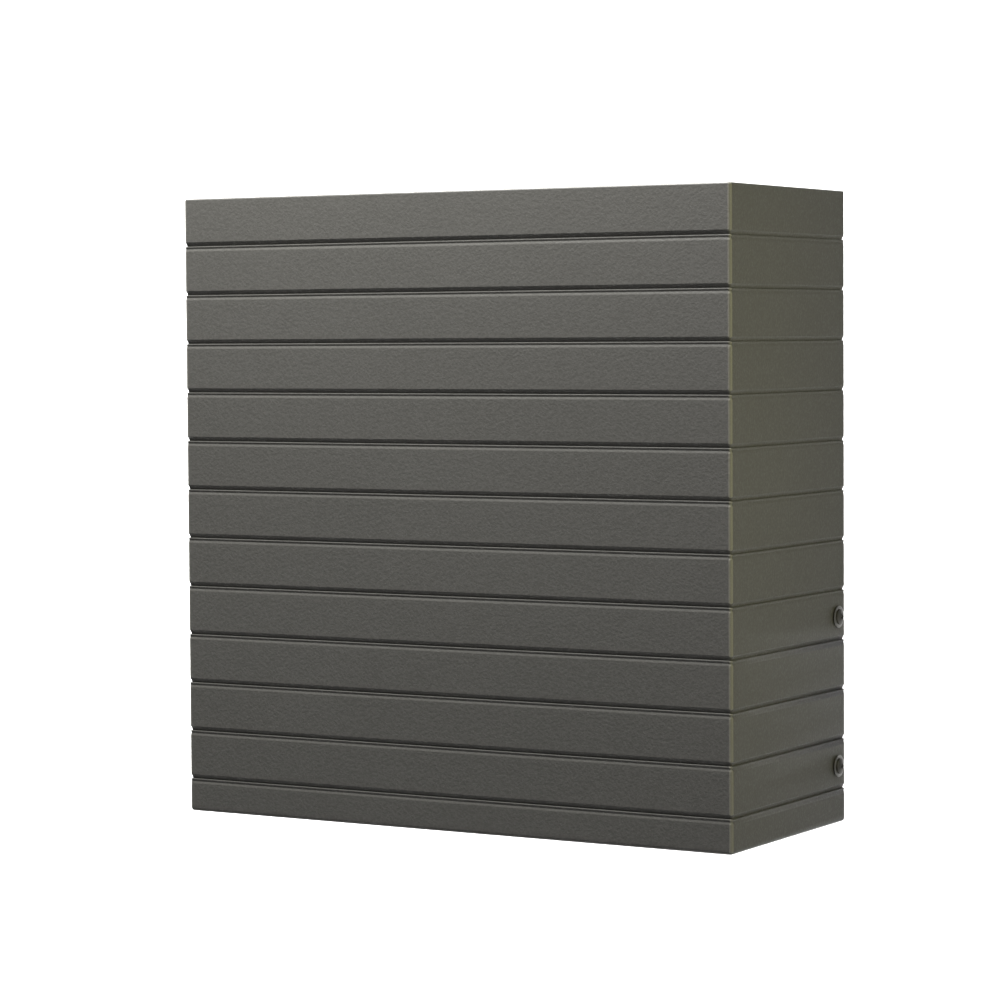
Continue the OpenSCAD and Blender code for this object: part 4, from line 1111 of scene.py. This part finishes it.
caps = made("fuse_caps", joined(caps), silver_plate)
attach(caps, "chassis")
stud_tips = []
for height in (fuse_low.z + stud_in, fuse_high.z - stud_in):
    nut = hex_nut(across=5.8 * MM, tall=4 * MM, bore=2.9 * MM, chamfer=0.6 * MM)
    nut.transform(Matrix.Translation((fuse_x, fuse_y - 1 * MM, height))
                  @ Matrix.Rotation(radians(90), 4, "X"))
    stud_tips.append(nut)
stud_nuts = made("fuse_nuts", joined(stud_tips), bright_steel)
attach(stud_nuts, "chassis")


# ---- Cells ----
# Eight prismatic lithium iron phosphate cells in two columns: aluminium cans in blue film, each
# with a laser welded lid that carries a burst disc, a filler seal and two threaded posts.
film_colour = (0.012, 0.075, 0.19, 1)
film_light = (0.022, 0.115, 0.26, 1)
can_colour = (0.50, 0.51, 0.52, 1)
can_light = (0.64, 0.65, 0.66, 1)
filler_out = 24 * MM


def shrink_film(name, colour, light):
    """Glossy shrunk film: long faint wrinkles and small scuffs."""
    material, place = new_finish(name, coat_weight=0.4)
    wrinkle = place.noise(70, 4, 0.6, (0.35, 1.6, 1))
    scuff = place.noise(700, 3, 0.6)
    return coat(material, Base_Color=(0.7 * wrinkle + 0.3 * scuff).blend(colour, light),
                Roughness=0.26 + 0.14 * scuff, Normal=wrinkle.relief(0.2 * MM, 0.35))


cell_film = shrink_film("cell_film", film_colour, film_light)
aluminium = steel("cell_aluminium", can_colour, can_light, 0.34, (0.05, 1, 1), 1200)
for number in range(1, 9):
    eased_copy("cell_%d" % number, cell_film, 0.6 * MM)
eased_copy("cell_lids", aluminium, 0.4 * MM)
cell_mids = [foot(*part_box("cell_%d" % number), "Y")[::2] for number in range(1, 9)]
lid_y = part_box("cell_lids")[0].y + 0.4 * MM
disc = turned(mm([(6.2, 0), (6.6, 0.3), (8.4, 0.5), (8.7, 0.8), (6.2, 0.8)]), 32, "Y")
vents = placed("burst_discs", disc, aluminium,
               [((x, lid_y - 0.75 * MM, z),) for x, z in cell_mids])
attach(vents, "chassis")
plug = turned(mm([(0, -0.5), (2.2, -0.4), (2.8, -0.1), (3, 0.3), (0, 0.3)]), 24, "Y")
fillers = placed("filler_seals", plug, bright_steel,
                 [((x + filler_out, lid_y, z),) for x, z in cell_mids])
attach(fillers, "chassis")

posts = solid_boxes("cell_terminals")
post_l = posts[0][1].y - posts[0][0].y
post_r = (posts[0][1].x - posts[0][0].x) / 2
post_bore = 3.05 * MM
post_spots = [(foot(low, high, "Y"),) for low, high in posts]
posts = placed("cell_posts", turned(
    [(post_bore, 0.3 * MM), (post_bore + 0.3 * MM, 0), (post_r - 0.4 * MM, 0),
     (post_r, 0.4 * MM), (post_r, post_l), (post_bore, post_l)], 40, "Y"), aluminium, post_spots)
stands_for(posts, "cell_terminals")
seal_in = post_r - 0.1 * MM
seal_out = post_r + 1.8 * MM
ring = turned([(seal_in, -0.8 * MM), (seal_out - 0.4 * MM, -0.8 * MM), (seal_out, -0.4 * MM),
               (seal_out, 0.1 * MM), (seal_in, 0.1 * MM)], 36, "Y", (0, post_l, 0))
rings = placed("post_seals", ring, black_plastic, post_spots)
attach(rings, "chassis")


# ---- Shelf, clamp and tie rods ----
# The cells stand on a folded galvanised shelf, with glass fibre sheets between them, and six tie
# rods draw an aluminium plate down on the stack.
laminate_colour = (0.50, 0.44, 0.30, 1)
laminate_light = (0.62, 0.56, 0.40, 1)


def woven_sheet(name, colour, light, thread=0.9 * MM):
    """Glass fibre laminate: a plain weave under a thin skin of resin."""
    material, place = new_finish(name, specular_ior_level=0.45)
    weave = place.sum("SINE", place.axis("X") * (2 * pi / thread))
    cross = place.sum("SINE", place.axis("Y") * (2 * pi / thread))
    cloth = weave * cross * 0.5 + 0.5
    stain = place.noise(60, 3)
    return coat(material, Base_Color=(0.5 * cloth + 0.5 * stain).blend(colour, light),
                Roughness=0.38 + 0.12 * cloth, Normal=cloth.relief(0.05 * MM, 0.4))


laminate = woven_sheet("glass_fibre", laminate_colour, laminate_light)
eased_copy("cell_spacers", laminate, 0.2 * MM)
eased_copy("cell_clamp", aluminium, 0.5 * MM)
eased_copy("cell_shelf", zinc, 0.4 * MM)
thread_l = 14 * MM
rods = []
for low, high in solid_boxes("tie_rods"):
    radius = (high.x - low.x) / 2
    long = high.z - low.z
    ends = [(0, 0), (radius - 0.5 * MM, 0), (radius, 0.5 * MM)]
    ends += [spot for k in range(12) for spot in ((radius, (k + 0.9) * MM),
                                                  (radius - 0.4 * MM, (k + 1.4) * MM))]
    ends += [(radius - 0.25 * MM, thread_l)]
    outline = ends + [(r, long - along) for r, along in reversed(ends)]
    rods.append(turned(outline, 24, "Z", foot(low, high, "Z")))
rods = made("threaded_rods", joined(rods), bright_steel, 20)
stands_for(rods, "tie_rods")
nut_boxes = solid_boxes("tie_nuts")
nut_across = (nut_boxes[0][1].x - nut_boxes[0][0].x) / 2
nut_tall = nut_boxes[0][1].z - nut_boxes[0][0].z
nut = hex_nut(nut_across, nut_tall, bore=radius + 0.05 * MM, chamfer=0.7 * MM)
nuts = placed("rod_nuts", nut, bright_steel,
              [(foot(low, high, "Z"),) for low, high in nut_boxes], 25)
stands_for(nuts, "tie_nuts")


# ---- Busbars ----
# Copper links join the cells in series on a moulded carrier. They are bolted to the posts, and a
# clear sheet snaps over the carrier's pegs.
copper_colour = (0.66, 0.25, 0.11, 1)
copper_light = (0.84, 0.42, 0.25, 1)
clear_colour = (0.70, 0.76, 0.78, 1)
clear_light = (0.80, 0.85, 0.86, 1)
copper = steel("rolled_copper", copper_colour, copper_light, 0.24, (1, 1, 0.06), 900)
eased_copy("busbar_carrier", white_nylon, 0.3 * MM)
eased_copy("cell_busbars", copper, 0.35 * MM)
screw_boxes = solid_boxes("busbar_screws")
bolt_low, bolt_high = screw_boxes[0]
bolt_head_r = (bolt_high.x - bolt_low.x) / 2
bolt_l = bolt_high.y - bolt_low.y
bolt = hex_nut(bolt_head_r, tall=5 * MM, bore=2.2 * MM, chamfer=0.7 * MM)
bolt.transform(Matrix.Rotation(radians(-90), 4, "X"))
shank = turned(mm([(0, 0.5), (2.3, 0.5), (2.3, 4), (3, 4)])
               + [(3 * MM, bolt_l - 0.5 * MM), (2.5 * MM, bolt_l), (0, bolt_l)], 24, "Y")
flange = turned(mm([(2.9, 4.6), (6.1, 4.6), (6.1, 5), (2.9, 5)]), 32, "Y")
bolts = placed("busbar_bolts", joined([bolt, shank, flange]), bright_steel,
               [(foot(low, high, "Y"), (0, radians(17 * k), 0))
                for k, (low, high) in enumerate(screw_boxes)], 25)
stands_for(bolts, "busbar_screws")


def clear_sheet(name, colour, light):
    """Clear polycarbonate with faint handling haze."""
    material, place = new_finish(name, specular_ior_level=0.5)
    haze = place.noise(30, 4, 0.6).step(0.4, 0.8)
    return coat(material, Base_Color=haze.blend(colour, light), Roughness=0.06 + 0.12 * haze,
                Alpha=0.16 + 0.1 * haze, Normal=place.noise(900, 2).relief(0.004 * MM, 0.2))


clear = clear_sheet("clear_polycarbonate", clear_colour, clear_light)
eased_copy("busbar_cover", clear, 0.3 * MM)


# ---- Electronics ----
# The battery management board stands on brass pillars in front of the pan and carries a finned
# heat sink and two copper blocks. The communication board lies over the ports.
mask_colour = (0.008, 0.055, 0.026, 1)
mask_light = (0.022, 0.115, 0.055, 1)
anodised_colour = (0.50, 0.51, 0.51, 1)
anodised_light = (0.60, 0.61, 0.61, 1)


def circuit_board(name, colour, light):
    """Solder mask over copper: fine traces and small pads in cells of a grid."""
    material, place = new_finish(name, coat_weight=0.3)
    pads = place.grains(260)
    trace = place.grains(190, "Distance", "DISTANCE_TO_EDGE").step(0.05, 0.09)
    fleck = place.noise(1500, 2)
    tone = (1 - trace) * 0.7 + pads * 0.2 + fleck * 0.2
    return coat(material, Base_Color=tone.blend(colour, light), Roughness=0.3 + 0.15 * fleck,
                Normal=(1 - trace).relief(0.03 * MM, 0.5))


mask = circuit_board("solder_mask", mask_colour, mask_light)
anodised = steel("cast_heatsink", anodised_colour, anodised_light, 0.42, (1, 1, 0.08), 1300)
eased_copy("bms_board", mask, 0.25 * MM)
eased_copy("comm_board", mask, 0.25 * MM)
eased_copy("board_standoffs", brass, 0.3 * MM)
eased_copy("bms_heatsink", anodised, 0.3 * MM)
bms_low, bms_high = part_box("bms_board")
bms_front = bms_high.y - 1.6 * MM
block_x = bms_high.x - 16 * MM
block_half = 8.2 * MM
clamps = [block((block_x - block_half, bms_low.y - 0.3 * MM, z - block_half),
                (block_x + block_half, bms_front + 0.1 * MM, z + block_half))
          for z in (bms_low.z + 14 * MM, bms_high.z - 14 * MM)]
clamps = eased(made("board_blocks", joined(clamps), copper), 0.5 * MM, 3)
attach(clamps, "chassis")

comm_low, comm_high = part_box("comm_board")


def chip(wide, deep, tall, legs):
    """A packaged circuit that lies on the origin, with legs on two sides."""
    shapes = [block((-wide / 2, -deep / 2, 0.2 * MM), (wide / 2, deep / 2, tall))]
    for k in range(legs):
        x = (k - (legs - 1) / 2) * wide / (legs + 0.5)
        shapes.append(block((x - 0.25 * MM, -deep / 2 - 0.9 * MM, 0),
                            (x + 0.25 * MM, deep / 2 + 0.9 * MM, 0.35 * MM)))
    return joined(shapes)


def parts_on(name, pattern, finish, spots, ease=0.15 * MM):
    """Sets one component at each spot of the two boards."""
    piece = placed(name, rounded(pattern, finish, ease), finish, spots)
    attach(piece, "chassis")


upright = radians(90)
comm = [(comm_low.x + x * MM, comm_low.y + y * MM, comm_high.z) for x, y in
        ((22, 40), (52, 44), (78, 22), (104, 46), (128, 20), (36, 14), (112, 14), (64, 10))]
wall_spots = [(bms_low.x + 10 * MM, bms_front, bms_low.z + z * MM) for z in (20, 34)]
parts_on("board_chips", chip(9 * MM, 7 * MM, 1.8 * MM, 7), black_plastic,
         [(spot, (0, 0, 0.5 * pi * (k % 2))) for k, spot in enumerate(comm[:5])]
         + [(spot, (upright, 0.5 * pi, 0)) for spot in wall_spots])
can = mm([(0, 0), (3, 0), (3.15, 0.5), (3, 1.1), (3.15, 1.6), (3.15, 6.6), (2.7, 7), (0, 6.9)])
parts_on("board_capacitors", turned(can, 20, "Z"), aluminium,
         [(spot,) for spot in comm[5:]]
         + [((comm_low.x + (70 + 8 * k) * MM, comm_high.y - 9 * MM, comm_high.z),)
            for k in range(3)])
parts_on("board_resistors", block(*mm([(-1, -0.6, 0), (1, 0.6, 0.55)])), ceramic,
         [((comm_low.x + (14 + 5.1 * k) * MM, comm_low.y + (28 + 3 * (k % 3)) * MM, comm_high.z),
           (0, 0, 0.5 * pi * (k % 2))) for k in range(23)]
         + [((bms_low.x + (6 + 3 * (k % 4)) * MM, bms_front, bms_low.z + (7 + 2.2 * (k // 4)) * MM),
             (upright, 0, 0)) for k in range(12)], 0.1 * MM)
walls = [((-12, -2.6, 0), (12, -1.8, 6)), ((-12, 1.8, 0), (12, 2.6, 6)),
         ((-12, -2.6, 0), (12, 2.6, 1.4)), ((-12, -2.6, 0), (-11.2, 2.6, 6)),
         ((11.2, -2.6, 0), (12, 2.6, 6))]
walls += [((2 * k - 9.3, -0.3, 1), (2 * k - 8.7, 0.3, 5)) for k in range(10)]
parts_on("board_plugs", joined([block(*mm(corners)) for corners in walls]), white_nylon,
         [((comm_low.x + x * MM, comm_high.y - 6 * MM, comm_high.z),) for x in (30, 118)]
         + [((bms_low.x + 62 * MM, bms_front, bms_high.z - 3 * MM), (upright, 0, 0))])


# ---- Power cables ----
# Heavy stranded cables in rubber jackets: the fused plus lead runs through the breaker to the
# orange socket, and the minus lead goes over the board's copper blocks to the black one.
jacket_colour = (0.010, 0.010, 0.011, 1)
jacket_light = (0.020, 0.020, 0.021, 1)
cable_r = 4.3 * MM
sleeve_r = cable_r + 0.45 * MM


def smooth_line(points, steps):
    """Points of a smooth curve through given points."""
    line = []
    for index in range(len(points) - 1):
        a, b, c, d = (Vector(points[min(max(index + k, 0), len(points) - 1)]) for k in (-1, 0, 1, 2))
        for step in range(steps):
            t = step / steps
            line.append(0.5 * (2 * b + (c - a) * t + (2 * a - 5 * b + 4 * c - d) * t * t
                               + (3 * b - a - 3 * c + d) * t ** 3))
    return line + [Vector(points[-1])]


def tube(points, radius, steps=8, sides=24):
    """A round tube along a smooth line through points, closed at both ends."""
    shape = bmesh.new()
    line = smooth_line(points, steps)
    rows = []
    across = Vector((0.31, 0.43, 0.85))
    for k, spot in enumerate(line):
        along = (line[min(k + 1, len(line) - 1)] - line[max(k - 1, 0)]).normalized()
        across = (across - along * across.dot(along)).normalized()
        over = along.cross(across)
        rows.append([shape.verts.new(spot + radius * (cos(2 * pi * s / sides) * across
                                                      + sin(2 * pi * s / sides) * over))
                     for s in range(sides)])
    laid(shape, rows, 0)
    shape.faces.new(list(reversed(rows[0])))
    shape.faces.new(rows[-1])
    bmesh.ops.recalc_face_normals(shape, faces=shape.faces)
    return shape


def route(points):
    """Route points in millimetres, with heights from the hood's lower edge."""
    return [Vector((x * MM, y * MM, hood_low.z + z * MM)) for x, y, z in points]


jacket = rubber("cable_jacket", jacket_colour, jacket_light)
fuse_lead = route(((49.5, -141.5, 90), (59.5, -141.5, 91), (70, -139, 95), (75, -133, 98),
                   (75, -125, 98)))
plus_lead = route(((75, -45, 100), (75, -38, 100), (82, -32, 100), (106, -32, 102), (121, -40, 107),
                   (127, -58, 113), (128, -78, 110), (128, -85, 99), (128, -85, 90)))
minus_lead = route(((-8, -38.1, 98), (4, -37, 97), (32, -31, 88), (66, -30, 84), (118, -30, 84),
                    (148, -33, 88), (163, -48, 99), (168, -72, 107), (168, -85, 100), (168, -85, 90)))
pack_lead = route(((-31.5, -140.5, 136), (-31.5, -126, 135), (-26, -98, 129), (-18, -68, 124),
                   (-16, -52, 124), (-16, -36, 124)))
cables = made("black_cables", joined([tube(minus_lead, cable_r), tube(pack_lead, cable_r)]), jacket)
stands_for(cables, "power_cables")
orange = made("orange_cables", joined([tube(fuse_lead, cable_r), tube(plus_lead, cable_r)]),
              moulded("orange_jacket", orange_colour, orange_light, 0.5, 1500))
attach(orange, "chassis")
sleeves = []
for lead in (fuse_lead, plus_lead, minus_lead, pack_lead):
    for start, then in ((lead[0], lead[1]), (lead[-1], lead[-2])):
        ahead = (then - start).normalized()
        sleeves.append(tube((start, start + ahead * 9 * MM), sleeve_r, 2))
sleeves = eased(made("cable_sleeves", joined(sleeves), black_rubber), 0.3 * MM)
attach(sleeves, "chassis")
lug = block((fuse_x - 8 * MM, fuse_y + 1 * MM, fuse_low.z + 3 * MM),
            (fuse_x + 18 * MM, fuse_y + 3 * MM, fuse_low.z + 17 * MM))
lug = eased(made("fuse_lug", lug, copper), 0.4 * MM)
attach(lug, "chassis")


# ---- Floor and light ----
# A plain pale floor that sweeps up behind the unit, a soft light over its front, a tall warmer one
# on the right, two that wash the sweep, and a dim white room all round.
floor_z = -2.6
floor_half = 7.0
backdrop_top = 6.0
sweep_r = 1.2
depth = 4.5
pale_colour = (0.86, 0.86, 0.86, 1)
pale_light = (0.9, 0.9, 0.9, 1)
room_light = 0.14
floor_shape = bmesh.new()
profile = [(-floor_half, floor_z), (depth - sweep_r, floor_z)]
profile += [(depth - sweep_r + sweep_r * sin(a), floor_z + sweep_r * (1 - cos(a)))
            for a in map(radians, range(6, 91, 6))]
profile += [(depth, backdrop_top)]
laid(floor_shape, [[floor_shape.verts.new((x, y, z)) for x in (-floor_half, floor_half)]
                   for y, z in profile])
pale, place = new_finish("pale_floor", specular_ior_level=0.1)
coat(pale, Base_Color=place.noise(3, 2).blend(pale_colour, pale_light),
     Roughness=0.85 + 0.05 * place.noise(8))
floor = made("floor", floor_shape, pale)

world = bpy.data.worlds.new("room")
bpy.context.scene.world = world
world.use_nodes = True
world.node_tree.nodes["Background"].inputs["Color"].default_value = (1, 1, 1, 1)
world.node_tree.nodes["Background"].inputs["Strength"].default_value = room_light
for name, spot, aim, wide, tall, power, colour in (
        ("soft_top", (-0.2, -0.43, 0.95), (0.0, -0.16, 0.0), 0.34, 0.34, 47, (1.0, 0.99, 0.97)),
        ("soft_right", (0.46, -0.15, 0.0), (0.2, -0.15, 0.0), 0.04, 0.8, 0.6, (1.0, 0.97, 0.5)),
        ("backdrop_high", (-2.6, 2.3, 2.4), (-2.7, 4.5, -0.5), 1.6, 1.6, 300, (1.0, 1.0, 1.0)),
        ("backdrop_low", (-4.6, 2.6, -1.4), (-2.7, 4.5, -0.5), 1.2, 1.2, 150, (1.0, 1.0, 1.0))):
    soft = bpy.data.lights.new(name, "AREA")
    soft.shape = "ELLIPSE"
    soft.size = wide
    soft.size_y = tall
    soft.energy = power
    soft.color = colour
    lamp = bpy.data.objects.new(name, soft)
    lamp.location = spot
    lamp.rotation_euler = (Vector(aim) - Vector(spot)).to_track_quat("-Z", "Y").to_euler()
    bpy.context.collection.objects.link(lamp)
bpy.context.scene.view_settings.view_transform = "Standard"
